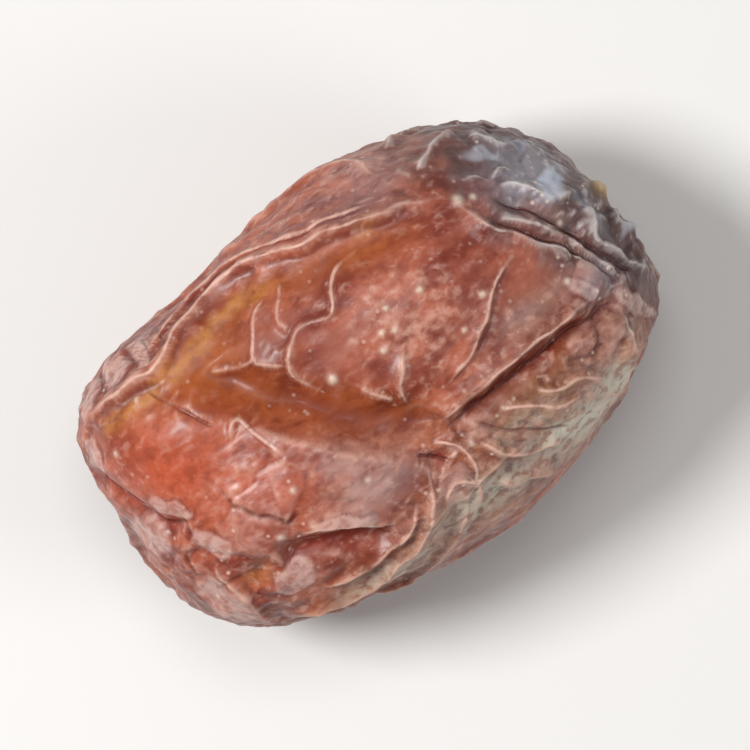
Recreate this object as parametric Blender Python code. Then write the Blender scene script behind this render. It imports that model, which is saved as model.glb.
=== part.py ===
"""A khasui date, dried and lying on its side, as one closed solid.

Metres, +Z up. The blossom tip points along +X and the stem end along -X. The fruit lies on a small flat
spot at Z = 0. Everything below is measured in millimetres until the mesh is written.
"""

import itertools
import math
import random

import bmesh
import bpy
import numpy as np
from mathutils import Vector, kdtree, noise

MM = 0.001

# The body: its outline from above, and how far it swells above and below its widest level.
OUTLINE = [  # x, y
    (18.0, -1.0), (17.5, 2.5), (16.6, 5.6), (15.0, 7.8), (12.5, 9.6), (10.0, 10.8), (7.0, 11.4),
    (3.5, 11.9), (0.0, 11.6), (-3.0, 11.1), (-6.0, 10.5), (-9.0, 10.1), (-12.0, 9.9), (-14.4, 9.2),
    (-16.0, 7.3), (-17.0, 5.0), (-17.1, 2.5), (-16.9, 0.0), (-16.9, -2.5), (-16.5, -5.5), (-15.3, -7.7),
    (-12.5, -9.6), (-9.0, -10.8), (-5.0, -11.8), (-1.0, -12.5), (3.0, -12.5), (7.0, -11.6),
    (11.0, -10.4), (14.0, -8.8), (16.5, -6.6), (17.8, -4.0),
]
OUTLINE_WAVES = 9
TOP = 10.2
BOTTOM = 10.1
SHOULDER_ABOVE = 2.45  # 2 would be an ellipse; more gives squarer shoulders
SHOULDER_LEAN = 0.40  # how much squarer the far upper shoulder is than the near one
SHOULDER_BELOW = 2.15
FLAT_SPOT_DEPTH = 0.40  # how much of the underside the flat spot takes away
FLAT_SPOT_EASE = 0.15  # height over which the skin curves into the flat spot
FLAT_SPOT_CENTRE = (0.3, -0.4)
SMOOTH_ROUND_SPOT = (2.6, 6.5)  # relief fades out between these distances from the spot's centre
BOX_MIDDLE = (0.28, -0.28)  # middle of the finished outline, which becomes the origin
GRID = 30  # faces along each edge of the cube that the skin is rounded from

NARROWEST = 0.75  # a fold with a smaller half-width would fall between the mesh's corners, so it is widened
THIN_GAIN = 0.6  # and raised by this power of how much it was widened
EVENING_ROUNDS = 2
GENTLE = 1.8  # how much further a leaning fold reaches on its gentle side
ROUTE_STEP = 0.4

# Ridges and furrows seen from above: height, half-width, lean, and the points x, y of the crest or the bottom.
# A fold with lean 1 falls gently to the left of its route, one with -1 to its right, and one with 0 is even.
FOLDS_ABOVE = {
    "far long ridge": (0.62, 0.34, 1, [
        (-16.9, 5.2), (-15.6, 6.7), (-14.0, 7.2), (-11.5, 7.3), (-9.6, 7.4), (-8.0, 8.2), (-5.5, 8.8),
        (-3.2, 9.2), (-1.0, 8.9), (1.0, 8.2), (3.2, 7.85), (5.2, 7.25), (7.2, 6.75), (9.0, 6.1),
        (9.9, 5.3)]),
    "far second ridge": (0.30, 0.26, 1, [
        (-11.0, 8.3), (-8.0, 9.1), (-5.0, 9.7), (-2.5, 9.9), (0.0, 9.3), (2.6, 8.7), (5.0, 8.2), (7.0, 7.6)]),
    "far trough": (-0.30, 1.20, 0, [
        (-14.5, 5.7), (-12.0, 5.8), (-9.0, 6.1), (-6.0, 7.0), (-3.0, 7.7), (0.0, 6.9), (3.0, 6.3), (6.0, 5.6),
        (8.5, 4.7)]),
    "far flank left": (0.30, 0.36, 1, [(-9.5, 9.5), (-7.0, 10.2), (-4.5, 10.6), (-2.0, 10.6), (0.5, 10.7)]),
    "far flank right": (0.45, 0.40, 1, [
        (-1.8, 11.0), (2.5, 11.3), (5.0, 11.1), (6.5, 10.4), (6.7, 9.5), (7.3, 8.8)]),
    "far flank tip": (0.36, 0.34, 0, [(8.3, 10.1), (9.5, 10.4), (11.0, 10.1)]),
    "far flank low": (0.34, 0.30, 0, [(9.0, 8.0), (10.0, 8.4), (10.9, 8.7), (12.2, 8.75)]),
    "pucker one": (-0.40, 0.40, 0, [(-13.4, 7.6), (-13.2, 9.5)]),
    "pucker two": (-0.35, 0.35, 0, [(-11.1, 7.7), (-11.0, 9.5)]),
    "pucker three": (-0.30, 0.30, 0, [(-10.0, 7.8), (-9.9, 9.5)]),
    "pucker four": (-0.30, 0.30, 0, [(-8.9, 8.0), (-8.7, 9.5)]),
    "tip inner crest": (0.52, 0.34, -1, [
        (9.9, 5.2), (10.2, 3.7), (11.0, 2.4), (12.0, 1.2), (12.8, 0.2), (13.6, -1.0), (14.3, -2.4), (14.9, -3.8)]),
    "tip slit": (-0.55, 0.25, 0, [
        (10.7, 3.6), (11.5, 2.5), (12.4, 1.4), (13.2, 0.2), (13.9, -1.2), (14.6, -2.8), (15.2, -4.2)]),
    "tip outer crest": (0.50, 0.30, 1, [
        (11.4, 3.2), (12.6, 1.9), (13.7, 0.5), (14.4, -1.1), (15.0, -2.7), (15.5, -4.0)]),
    "tip furrow": (-0.60, 0.50, 0, [
        (11.6, 4.6), (13.0, 2.9), (13.9, 1.4), (14.5, 0.1), (15.1, -1.6), (15.8, -3.2), (16.6, -4.6)]),
    "tip hook": (0.60, 0.40, -1, [
        (16.0, 1.4), (15.6, 0.0), (15.4, -1.2), (15.9, -2.4), (16.5, -3.6), (17.2, -4.5)]),
    "tip edge": (0.40, 0.30, 0, [(17.2, 0.0), (16.9, -1.0), (17.3, -1.6), (17.9, -2.0)]),
    "tip crumple far": (0.40, 0.34, 1, [(12.8, 8.1), (13.5, 7.5), (14.3, 6.6), (15.2, 6.1)]),
    "tip crumple mid": (0.34, 0.30, 1, [
        (12.7, 4.6), (13.4, 4.5), (13.9, 3.7), (14.3, 2.8), (15.0, 2.1), (16.0, 1.9)]),
    "tip crumple inner": (0.30, 0.26, -1, [
        (10.9, 6.3), (12.0, 6.0), (12.6, 5.2), (13.4, 5.6), (14.2, 4.9)]),
    "near ridge": (0.70, 0.42, 1, [
        (1.4, -4.9), (3.0, -4.5), (4.6, -4.35), (7.0, -4.1), (9.0, -4.0), (11.0, -4.0), (13.4, -3.8)]),
    "near furrow": (-0.85, 0.45, 0, [
        (1.6, -5.5), (3.2, -5.2), (6.0, -5.1), (8.0, -4.95), (10.0, -4.85), (12.0, -4.75), (15.0, -5.0)]),
    "panel arc": (0.30, 0.24, -1, [
        (10.9, 0.9), (9.8, 0.5), (8.9, 0.1), (8.2, -0.6), (7.3, -1.4), (6.0, -2.2), (5.0, -2.7), (3.0, -3.2)]),
    "panel stroke one": (0.22, 0.26, -1, [(2.6, 0.0), (1.8, -0.9), (1.0, -1.9), (0.7, -3.0)]),
    "panel stroke two": (0.20, 0.26, 0, [(-0.9, -0.4), (-0.4, -1.2), (0.2, -2.3)]),
    "panel vein": (0.26, 0.24, 1, [
        (3.9, 6.4), (2.2, 6.1), (1.2, 5.4), (0.5, 4.3), (-0.2, 4.05), (-1.4, 4.4), (-2.6, 4.1),
        (-3.5, 3.1), (-3.5, 2.1), (-2.6, 0.8)]),
    "panel branch": (0.22, 0.22, 1, [(-2.5, 7.2), (-4.0, 6.0), (-5.0, 4.7), (-4.5, 3.7), (-3.5, 3.1)]),
    "panel twig": (0.20, 0.22, 0, [(-4.7, 4.6), (-6.2, 4.8), (-7.6, 5.6)]),
    "amber furrow": (-1.25, 1.55, 0, [
        (-9.3, 5.6), (-7.2, 4.2), (-5.6, 2.4), (-4.1, 0.6), (-2.5, -1.2), (-1.0, -3.0), (0.6, -4.2),
        (2.6, -4.9)]),
    "near bank": (0.42, 0.60, -1, [
        (-8.0, 2.4), (-6.9, 0.6), (-6.1, -0.5), (-4.8, -1.9), (-3.6, -3.2), (-2.2, -4.4), (-0.8, -5.6)]),
    "stem fold": (-0.60, 0.40, 0, [
        (-16.6, 5.0), (-16.3, 3.8), (-15.9, 2.5), (-15.3, 1.0), (-14.6, -0.4), (-13.3, -1.2)]),
    "stem near edge": (0.40, 0.36, -1, [(-13.7, -4.0), (-13.6, -5.5), (-13.3, -6.8), (-13.2, -8.8)]),
    "hollow lip": (0.50, 0.34, 1, [
        (-8.6, -5.3), (-7.4, -5.6), (-6.3, -6.2), (-5.4, -6.8), (-4.5, -7.7), (-3.8, -8.2)]),
    "red hollow": (-1.05, 1.05, 0, [(-10.6, -5.9), (-8.6, -6.6), (-6.8, -7.4), (-5.2, -8.2), (-3.8, -8.8)]),
    "near band": (0.60, 0.40, -1, [
        (-12.5, -8.6), (-11.0, -9.2), (-9.5, -9.7), (-8.0, -10.0), (-6.5, -10.1), (-5.0, -10.0),
        (-3.5, -9.8), (-2.4, -9.2), (-1.5, -8.4), (-0.6, -7.4), (0.0, -6.0)]),
    "near band second": (0.30, 0.26, 0, [
        (-9.5, -8.8), (-7.0, -9.2), (-4.5, -9.1), (-3.0, -8.6), (-1.8, -7.8)]),
    "near band third": (0.34, 0.28, -1, [
        (-8.0, -11.0), (-5.5, -11.4), (-3.0, -11.4), (-0.8, -10.6), (0.6, -9.4)]),
    "near crumple one": (0.36, 0.30, 1, [(3.0, -6.6), (3.7, -8.0), (5.2, -9.0), (7.2, -9.4)]),
    "near crumple two": (0.34, 0.28, 1, [(0.2, -9.6), (1.0, -9.0), (2.2, -8.6), (3.6, -8.5)]),
    "near crumple three": (0.40, 0.34, 1, [(12.6, -8.6), (13.4, -7.2), (14.3, -5.6)]),
    "near crumple four": (0.30, 0.26, -1, [(5.0, -6.2), (6.6, -6.6), (8.0, -7.6), (9.6, -7.8)]),
    "near crumple five": (0.28, 0.26, -1, [(0.9, -5.6), (1.9, -6.6), (2.0, -7.8), (1.4, -8.8)]),
    "pit": (-0.45, 0.40, 0, [(-0.4, -5.6), (0.2, -6.2), (0.9, -7.2)]),
}

# Broad swellings and dips seen from above: x, y, half-length, half-width, height.
LOBES_ABOVE = [
    (4.0, 2.4, 6.2, 4.2, 0.75),  # middle panel
    (-12.5, 2.0, 3.6, 3.8, 0.55),  # pillow at the stem end
    (-9.0, -3.2, 4.5, 2.2, 0.45),
    (8.5, -7.6, 5.0, 1.8, 0.45),  # near panel
    (-7.5, 6.0, 3.0, 1.6, -0.50),
    (13.2, 5.6, 2.6, 2.0, -0.70),
    (1.0, -6.6, 2.0, 1.5, -0.45),
    (-12.2, -5.9, 1.2, 0.9, -0.40),
]

# Large, nearly flat pieces of skin on the flanks and the underside, which meet in ridges and creases.
BODY_AREA = 2250.0  # square millimetres
PANELS = 46
PANEL_SEED = 11
PANEL_JITTER = 0.5
PANEL_STRETCH = 2.3  # how much longer than wide the pieces are
PANEL_BLEND = 0.60  # how softly one piece's level runs into the next one's
PANEL_HEIGHT = 0.24
PANEL_RIDGE = 0.60
PANEL_CREASE = 0.45
PANEL_EDGE = 1.50  # width of the ridges and creases
PANEL_DISH = 0.50
PANEL_DISH_REACH = 3.6  # how far inside its edges a piece is fully sunk
PANELS_FADE = (-0.42, 0.12)  # the pieces fade out between these shares of the height up to the top
NEIGHBOURS = 4  # pieces that are looked at round each place
WANDER = 1.3  # how far the edges stray from straight lines
WANDER_SIZE = 4.0
DRIFT_STARTS = [Vector((31.4, 0.0, 0.0)), Vector((0.0, 47.9, 0.0)), Vector((0.0, 0.0, 59.2))]

# Crumples of the slack skin.
CRUMPLE_SIZE = 4.6
CRUMPLE_STRETCH = 1.9
CRUMPLE_HEIGHT = 0.40
CRUMPLE_START = 3.0
CRUMPLE_LEVELS = (0.25, 2.0)  # the noise's usual lowest and highest values
CRUMPLE_LAYERS = 2
TIGHT_SPOTS = [  # x, y, radius, tightness
    (-12.5, 2.5, 4.4, 0.7), (3.5, 2.4, 5.8, 0.65), (-7.0, 5.2, 3.6, 0.85), (-2.5, -1.0, 2.2, 0.6),
    (9.5, -1.5, 3.0, 0.5), (0.0, 10.0, 3.0, 0.6), (-5.0, 9.5, 3.0, 0.6), (5.0, -6.5, 2.0, 0.4),
]
TIP_SLACK = 1.5  # the crumpled tip has this much more of it than other slack skin

# The round scar where the stem's cap came away, as bearing and elevation from the middle.
SCAR_BEARING = 184.0
SCAR_ELEVATION = -16.0
SCAR_RADIUS = 2.3
SCAR_DEPTH = 0.55
SCAR_RIM = 0.45
SCAR_RIM_WIDTH = 0.75
PUCKERS = 11
PUCKER_HEIGHT = 0.16
PUCKER_REACH = 2.0

# The little point left by the flower at the other end.
POINT_PLAN = (17.3, 1.1)
POINT_ELEVATION = 10.0
POINT_RADIUS = 0.75
POINT_HEIGHT = 0.55

SKIN_COLOUR = (0.30, 0.085, 0.045, 1.0)
SKIN_ROUGHNESS = 0.42


def smoothstep(low, high, value):
    """0 below low, 1 above high, and a smooth rise between."""
    share = np.clip((value - low) / (high - low), 0.0, 1.0)
    return share * share * (3.0 - 2.0 * share)


def outline_coefficients():
    """Cosine and sine waves of the radius against the bearing, fitted to OUTLINE."""
    points = np.array(OUTLINE)
    bearing = np.arctan2(points[:, 1], points[:, 0])
    radius = np.hypot(points[:, 0], points[:, 1])
    return np.linalg.lstsq(outline_terms(bearing), radius, rcond=None)[0]


def outline_terms(bearing):
    """One column for each wave, at every bearing."""
    waves = np.arange(1, OUTLINE_WAVES + 1)
    turns = np.multiply.outer(bearing, waves)
    ones = np.ones(np.shape(bearing) + (1,))
    return np.concatenate([ones, np.cos(turns), np.sin(turns)], axis=-1)


OUTLINE_FIT = outline_coefficients()


def reach_at(bearing):
    """How far the body reaches at its widest level."""
    return outline_terms(bearing) @ OUTLINE_FIT


def shoulder_at(bearing, elevation):
    """How square the body's shoulder is, above and below its widest level."""
    above = SHOULDER_ABOVE + SHOULDER_LEAN * np.sin(bearing)
    return SHOULDER_BELOW + (above - SHOULDER_BELOW) * smoothstep(-0.3, 0.3, elevation)


def body_point(bearing, elevation):
    """Point of the smooth body in a direction from its middle."""
    shoulder = shoulder_at(bearing, elevation)
    swell = np.where(elevation >= 0.0, TOP, BOTTOM)
    level = (np.cos(elevation) / reach_at(bearing)) ** shoulder
    upright = (np.abs(np.sin(elevation)) / swell) ** shoulder
    radius = (level + upright) ** (-1.0 / shoulder)
    flat = radius * np.cos(elevation)
    return np.stack([flat * np.cos(bearing), flat * np.sin(bearing), radius * np.sin(elevation)], axis=-1)


def point_above(x, y):
    """Point of the smooth body straight above x, y."""
    bearing = np.arctan2(y, x)
    shoulder = shoulder_at(bearing, 1.0)
    share = np.clip(np.hypot(x, y) / reach_at(bearing), 0.0, 0.995)
    z = TOP * (1.0 - share**shoulder) ** (1.0 / shoulder)
    return np.stack([x, y, z], axis=-1)


def smooth_route(points):
    """Evenly stepped points of a smooth curve through the given ones (Catmull-Rom)."""
    knots = np.array([points[0], *points, points[-1]], float)
    pieces = []
    for a, b, c, d in zip(knots, knots[1:], knots[2:], knots[3:]):
        steps = max(2, math.ceil(np.linalg.norm(c - b) / ROUTE_STEP))
        t = np.linspace(0.0, 1.0, steps, endpoint=False)[:, None]
        bend = (2 * a - 5 * b + 4 * c - d) * t**2 + (3 * b - a - 3 * c + d) * t**3
        pieces.append(0.5 * (2 * b + (c - a) * t + bend))
    return np.concatenate([*pieces, knots[-1:]])


def distance_to_route(places, route):
    """Distance from each place to the route, how far along it that is from 0 to 1, and 1 on its left or -1."""
    nearest = np.full(len(places), 1e9)
    along = np.zeros(len(places))
    side = np.zeros(len(places))
    for i, (start, end) in enumerate(zip(route, route[1:])):
        span = end - start
        away = places - start
        share = np.clip(away @ span / (span @ span), 0.0, 1.0)
        gap = np.linalg.norm(away - share[:, None] * span, axis=1)
        closer = gap < nearest
        nearest[closer] = gap[closer]
        along[closer] = (i + share[closer]) / (len(route) - 1)
        side[closer] = np.sign(span[0] * away[closer, 1] - span[1] * away[closer, 0])
    return nearest, along, side


def fold_relief(places):
    """Height of the ridges less the depth of the furrows that are seen from above."""
    ridges = np.zeros(len(places))
    furrows = np.zeros(len(places))
    for height, width, lean, points in FOLDS_ABOVE.values():
        plan = smooth_route(points)
        gap, along, side = distance_to_route(places, point_above(plan[:, 0], plan[:, 1]))
        taper = smoothstep(0.0, 0.18, along) * smoothstep(0.0, 0.18, 1.0 - along)
        broad = max(width, NARROWEST)
        wide = broad * np.where(side * lean > 0.0, GENTLE, 1.0)
        rise = abs(height) * (broad / width) ** THIN_GAIN
        shape = rise * taper * np.exp(-((gap / wide) ** 2))
        if height > 0.0:
            ridges = np.maximum(ridges, shape)
        else:
            furrows = np.maximum(furrows, shape)
    return ridges - furrows


def lobe_relief(places):
    """The broad swellings and dips of the top."""
    height = np.zeros(len(places))
    above = smoothstep(0.0, 3.0, places[:, 2])
    for x, y, long, wide, rise in LOBES_ABOVE:
        spread = ((places[:, 0] - x) / long) ** 2 + ((places[:, 1] - y) / wide) ** 2
        height += rise * above * np.exp(-spread)
    return height


def scattered_points(count, jitter, draw):
    """Points spread evenly over the body, each moved a little at random."""
    found = []
    for i in range(count):
        level = 1.0 - 2.0 * (i + 0.5) / count
        bearing = i * math.pi * (3.0 - math.sqrt(5.0)) + draw.uniform(-jitter, jitter)
        elevation = math.asin(level) + draw.uniform(-jitter, jitter) * 0.5
        found.append(body_point(bearing, elevation))
    return np.array(found)


def drift(places, size):
    """Smooth noise in x, y and z at each place, with waves of that size."""
    found = np.empty((len(places), 3))
    for row, place in enumerate(places):
        at = Vector(place) / size
        found[row] = [noise.noise(at + start) for start in DRIFT_STARTS]
    return found


def wandering(places):
    """The places pushed about by noise, so that lines drawn between them are not straight."""
    return places + WANDER * drift(places, WANDER_SIZE)


def skin_pieces(places):
    """The blended height of the pieces of skin, how far inside its piece each place is, and how near it
    lies to a strong and to a weak edge.

    Each piece is the skin nearest to one of the scattered points, and has a level and a tilt of its own."""
    draw = random.Random(PANEL_SEED)
    middles = scattered_points(PANELS, PANEL_JITTER, draw)
    levels = np.array([draw.uniform(-1.0, 1.0) for _ in range(PANELS)])
    squeeze = np.array([1.0 / PANEL_STRETCH, 1.0, 1.0])
    tilts = np.array([[draw.gauss(0.0, 1.0) for _ in range(3)] for _ in range(PANELS)]) * squeeze
    tree = kdtree.KDTree(PANELS)
    for i, middle in enumerate(middles * squeeze):
        tree.insert(middle, i)
    tree.balance()
    owners = np.empty((len(places), NEIGHBOURS), int)
    gaps = np.empty((len(places), NEIGHBOURS))
    for row, place in enumerate(places * squeeze):
        for column, (_, owner, gap) in enumerate(tree.find_n(place, NEIGHBOURS)):
            owners[row, column] = owner
            gaps[row, column] = gap
    gaps -= gaps[:, :1].copy()
    weights = np.exp(-gaps / PANEL_BLEND)
    weights /= weights.sum(axis=1, keepdims=True)
    size = math.sqrt(BODY_AREA / PANELS)
    lean = np.einsum("pni,pni->pn", tilts[owners], places[:, None, :] - middles[owners]) / size
    height = (weights * (levels[owners] + lean)).sum(axis=1)
    strong = np.zeros(len(places))
    weak = np.zeros(len(places))
    for a, b in itertools.combinations(range(NEIGHBOURS), 2):
        first, second = np.sort(owners[:, [a, b]], axis=1).T
        strength = np.modf(np.abs(np.sin(first * 12.99 + second * 78.23) * 43758.5))[0]
        near_edge = np.exp(-(((gaps[:, a] + gaps[:, b]) / PANEL_EDGE) ** 2))
        strong = np.maximum(strong, smoothstep(0.30, 0.70, strength) * near_edge)
        weak = np.maximum(weak, smoothstep(0.35, 0.10, strength) * near_edge)
    return height, gaps[:, 1], strong, weak


def panel_relief(places):
    """Dished pieces with ridges along the strong edges and creases along the weak ones."""
    level, inside, strong, weak = skin_pieces(wandering(places))
    dish = PANEL_DISH * smoothstep(0.0, PANEL_DISH_REACH, inside)
    shape = PANEL_HEIGHT * level + PANEL_RIDGE * strong - PANEL_CREASE * weak - dish
    return shape * (1.0 - smoothstep(*PANELS_FADE, places[:, 2] / TOP))


def tightness(places):
    """1 where the skin is stretched over plump flesh, 0 where it is slack."""
    tight = np.zeros(len(places))
    for x, y, radius, most_tight in TIGHT_SPOTS:
        gap = np.hypot(places[:, 0] - x, places[:, 1] - y)
        tight = np.maximum(tight, most_tight * (1.0 - smoothstep(0.5 * radius, 1.2 * radius, gap)))
    return tight * smoothstep(1.0, 5.0, places[:, 2])


def crumple_relief(places):
    """Ridged noise, strongest where the skin is slack and at the tip."""
    found = np.empty(len(places))
    offset = Vector((CRUMPLE_START, -CRUMPLE_START, 0.5 * CRUMPLE_START))
    pushes = 0.45 * drift(places, 1.3 * CRUMPLE_SIZE)
    for i, (place, push) in enumerate(zip(places, pushes)):
        at = Vector((place[0] / CRUMPLE_STRETCH, place[1], place[2])) / CRUMPLE_SIZE + Vector(push) + offset
        found[i] = noise.ridged_multi_fractal(at, 1.0, 2.1, CRUMPLE_LAYERS, 1.0, 1.6)
    low, high = CRUMPLE_LEVELS
    crumple = np.clip((found - low) / (high - low), -0.1, 1.2)
    slack = (1.0 - tightness(places)) * (1.0 + (TIP_SLACK - 1.0) * smoothstep(11.0, 15.0, places[:, 0]))
    return CRUMPLE_HEIGHT * slack * (crumple - 0.4)


def scar_relief(places):
    """The stem scar's dish and rim, and the puckers that run away from it."""
    middle = body_point(math.radians(SCAR_BEARING), math.radians(SCAR_ELEVATION))
    offset = places - middle
    gap = np.linalg.norm(offset, axis=1)
    dish = -SCAR_DEPTH * (1.0 - smoothstep(0.75 * SCAR_RADIUS, 1.05 * SCAR_RADIUS, gap))
    rim = SCAR_RIM * np.exp(-(((gap - 1.25 * SCAR_RADIUS) / SCAR_RIM_WIDTH) ** 2))
    turn = np.arctan2(offset[:, 2], offset[:, 1])
    beyond = gap - 2.1 * SCAR_RADIUS
    wave = np.cos(PUCKERS * turn + 1.2 * np.sin(2.0 * turn))
    pucker = PUCKER_HEIGHT * wave * np.exp(-((beyond / PUCKER_REACH) ** 2))
    return (dish + rim + pucker) * (places[:, 0] < 0.0)


def tip_relief(places):
    """The small point at the blossom end."""
    bearing = math.atan2(POINT_PLAN[1], POINT_PLAN[0])
    middle = body_point(bearing, math.radians(POINT_ELEVATION))
    gap = np.linalg.norm(places - middle, axis=1)
    return POINT_HEIGHT * np.exp(-((gap / POINT_RADIUS) ** 2))


def relief(places):
    """How far each place of the smooth body stands out, in millimetres."""
    height = lobe_relief(places) + fold_relief(places) + panel_relief(places) + crumple_relief(places)
    height += scar_relief(places) + tip_relief(places)
    from_spot = np.hypot(places[:, 0] - FLAT_SPOT_CENTRE[0], places[:, 1] - FLAT_SPOT_CENTRE[1])
    rough = np.where(places[:, 2] < 0.0, smoothstep(*SMOOTH_ROUND_SPOT, from_spot), 1.0)
    return height * rough


def settled(height):
    """Heights above the ground, with all that would lie under it pressed flat and an eased edge."""
    eased = (height + FLAT_SPOT_EASE) ** 2 / (4.0 * FLAT_SPOT_EASE)
    return np.where(height > FLAT_SPOT_EASE, height, np.where(height < -FLAT_SPOT_EASE, 0.0, eased))


def rounded_cube():
    """A cube cut into GRID squares a side, with its corners as even as on a globe."""
    mesh = bmesh.new()
    bmesh.ops.create_cube(mesh, size=2.0)
    bmesh.ops.subdivide_edges(mesh, edges=mesh.edges[:], cuts=GRID - 1, use_grid_fill=True)
    for corner in mesh.verts:
        even = [math.tan(value * math.pi / 4.0) for value in corner.co]
        corner.co = even
        corner.co.normalize()
    return mesh


def places_of(mesh):
    """The mesh's corners as an array."""
    return np.array([corner.co[:] for corner in mesh.verts])


def evened(mesh, values):
    """The values, each averaged with its neighbours', so that no fold is sharper than the mesh can carry."""
    mesh.verts.index_update()
    links = np.array([[edge.verts[0].index, edge.verts[1].index] for edge in mesh.edges])
    count = np.bincount(links.ravel(), minlength=len(values))
    for _ in range(EVENING_ROUNDS):
        total = np.bincount(links[:, 0], values[links[:, 1]], len(values))
        total += np.bincount(links[:, 1], values[links[:, 0]], len(values))
        values = 0.5 * values + 0.5 * total / count
    return values


def move_corners(mesh, places):
    """Puts the mesh's corners at the given places."""
    for corner, place in zip(mesh.verts, places):
        corner.co = place
    mesh.normal_update()


def build_fruit():
    """The fruit's skin: a rounded cube drawn out to the body, with the relief raised from it."""
    mesh = rounded_cube()
    globe = places_of(mesh) * np.array([max(x for x, _ in OUTLINE), max(y for _, y in OUTLINE), TOP])
    bearing = np.arctan2(globe[:, 1], globe[:, 0])
    elevation = np.arctan2(globe[:, 2], np.hypot(globe[:, 0], globe[:, 1]))
    body = body_point(bearing, elevation)
    move_corners(mesh, body)
    outwards = np.array([corner.normal[:] for corner in mesh.verts])
    skin = body + evened(mesh, relief(body))[:, None] * outwards
    skin[:, 2] = settled(skin[:, 2] + BOTTOM - FLAT_SPOT_DEPTH)
    skin[:, :2] -= BOX_MIDDLE
    move_corners(mesh, skin * MM)
    # The shorter diagonal of each square runs along a fold and not across it.
    bmesh.ops.triangulate(mesh, faces=mesh.faces[:], quad_method="SHORT_EDGE")
    return mesh


def skin_material():
    """Dark, half-glossy date skin."""
    material = bpy.data.materials.new("date_skin")
    material.use_nodes = True
    shader = material.node_tree.nodes["Principled BSDF"]
    shader.inputs["Base Color"].default_value = SKIN_COLOUR
    shader.inputs["Roughness"].default_value = SKIN_ROUGHNESS
    shader.inputs["Metallic"].default_value = 0.0
    return material


def add_node(name, mesh, material):
    """Turns the mesh into an object of the scene."""
    data = bpy.data.meshes.new(name)
    mesh.to_mesh(data)
    mesh.free()
    data.shade_smooth()
    data.materials.append(material)
    node = bpy.data.objects.new(name, data)
    bpy.context.scene.collection.objects.link(node)
    return node


def main():
    for leftover in list(bpy.data.objects):
        bpy.data.objects.remove(leftover)
    add_node("date_fruit", build_fruit(), skin_material())


main()
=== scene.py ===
# %% [markdown]
# # A khasui date
# A khasui date is a short, plump fruit that dries on the palm. Its flesh shrinks more than its skin, so the
# skin is left too large and falls into folds: a few long ridges, broad sunken panels between them, and a
# net of small wrinkles where it is loosest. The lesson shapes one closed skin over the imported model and
# then gives it the colours and the soft waxy gloss of the fruit.

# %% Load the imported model
import itertools
import math
import random

import bmesh
import bpy
import numpy as np
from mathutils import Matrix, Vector, kdtree, noise


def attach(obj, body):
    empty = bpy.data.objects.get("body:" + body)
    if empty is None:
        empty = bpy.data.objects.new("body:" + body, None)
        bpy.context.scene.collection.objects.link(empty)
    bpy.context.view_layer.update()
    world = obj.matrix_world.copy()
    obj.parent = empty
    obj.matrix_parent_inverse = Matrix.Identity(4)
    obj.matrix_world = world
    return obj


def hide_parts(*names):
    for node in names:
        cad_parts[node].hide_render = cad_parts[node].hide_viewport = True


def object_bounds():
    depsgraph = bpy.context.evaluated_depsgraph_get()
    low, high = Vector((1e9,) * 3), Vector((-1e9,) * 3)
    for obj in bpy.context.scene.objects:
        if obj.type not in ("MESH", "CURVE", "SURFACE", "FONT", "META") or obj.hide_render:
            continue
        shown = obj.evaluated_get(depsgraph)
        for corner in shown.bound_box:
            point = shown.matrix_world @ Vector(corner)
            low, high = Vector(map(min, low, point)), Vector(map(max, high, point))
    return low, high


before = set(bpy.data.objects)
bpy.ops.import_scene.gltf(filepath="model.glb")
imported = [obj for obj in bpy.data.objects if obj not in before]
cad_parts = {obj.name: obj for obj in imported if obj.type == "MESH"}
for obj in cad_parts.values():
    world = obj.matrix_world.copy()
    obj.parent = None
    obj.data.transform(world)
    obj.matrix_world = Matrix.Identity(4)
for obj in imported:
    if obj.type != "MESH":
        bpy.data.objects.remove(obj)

cad_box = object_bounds()
print("packed model:", [round(side * 1000, 1) for side in cad_box[1] - cad_box[0]], "mm")

# %% [markdown]
# ## The body
# Under the folds the fruit is a rounded barrel. Its outline from above is a closed curve through measured
# points, and its upper half is squarer on the far side than on the near one. Working in millimetres keeps
# the numbers readable; they become metres when the mesh is written.

# %% The body's measures, in millimetres
MM = 0.001
OUTLINE = [  # x, y
    (18, -1), (17.5, 2.5), (16.6, 5.6), (15, 7.8), (12.5, 9.6), (10, 10.8), (7, 11.4),
    (3.5, 11.9), (0, 11.6), (-3, 11.1), (-6, 10.5), (-9, 10.1), (-12, 9.9), (-14.4, 9.2),
    (-16, 7.3), (-17, 5), (-17.1, 2.5), (-16.9, 0), (-16.9, -2.5), (-16.5, -5.5), (-15.3, -7.7),
    (-12.5, -9.6), (-9, -10.8), (-5, -11.8), (-1, -12.5), (3, -12.5), (7, -11.6),
    (11, -10.4), (14, -8.8), (16.5, -6.6), (17.8, -4),
]
OUTLINE_WAVES = 9
OUTLINE_INSET = 0.3  # the body lies this far inside the outline, which the relief fills out again
TOP = 10.2
BOTTOM = 10.1
SHOULDER_ABOVE = 2.45  # 2 would be an ellipse; more gives squarer shoulders
SHOULDER_LEAN = 0.40  # how much squarer the far upper shoulder is than the near one
SHOULDER_BELOW = 2.15
FLAT_SPOT_DEPTH = 0.40
FLAT_SPOT_EASE = 0.15
FLAT_SPOT_CENTRE = (0.3, -0.4)
SMOOTH_ROUND_SPOT = (2.6, 6.5)  # relief fades out between these distances from the spot's centre
BOX_MIDDLE = (0.28, -0.28)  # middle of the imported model's outline, which is the origin
ROUTE_STEP = 0.4


# %% Functions of the smooth body
def smoothstep(low, high, value):
    """0 below low, 1 above high, and a smooth rise between."""
    share = np.clip((value - low) / (high - low), 0.0, 1.0)
    return share * share * (3.0 - 2.0 * share)


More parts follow.
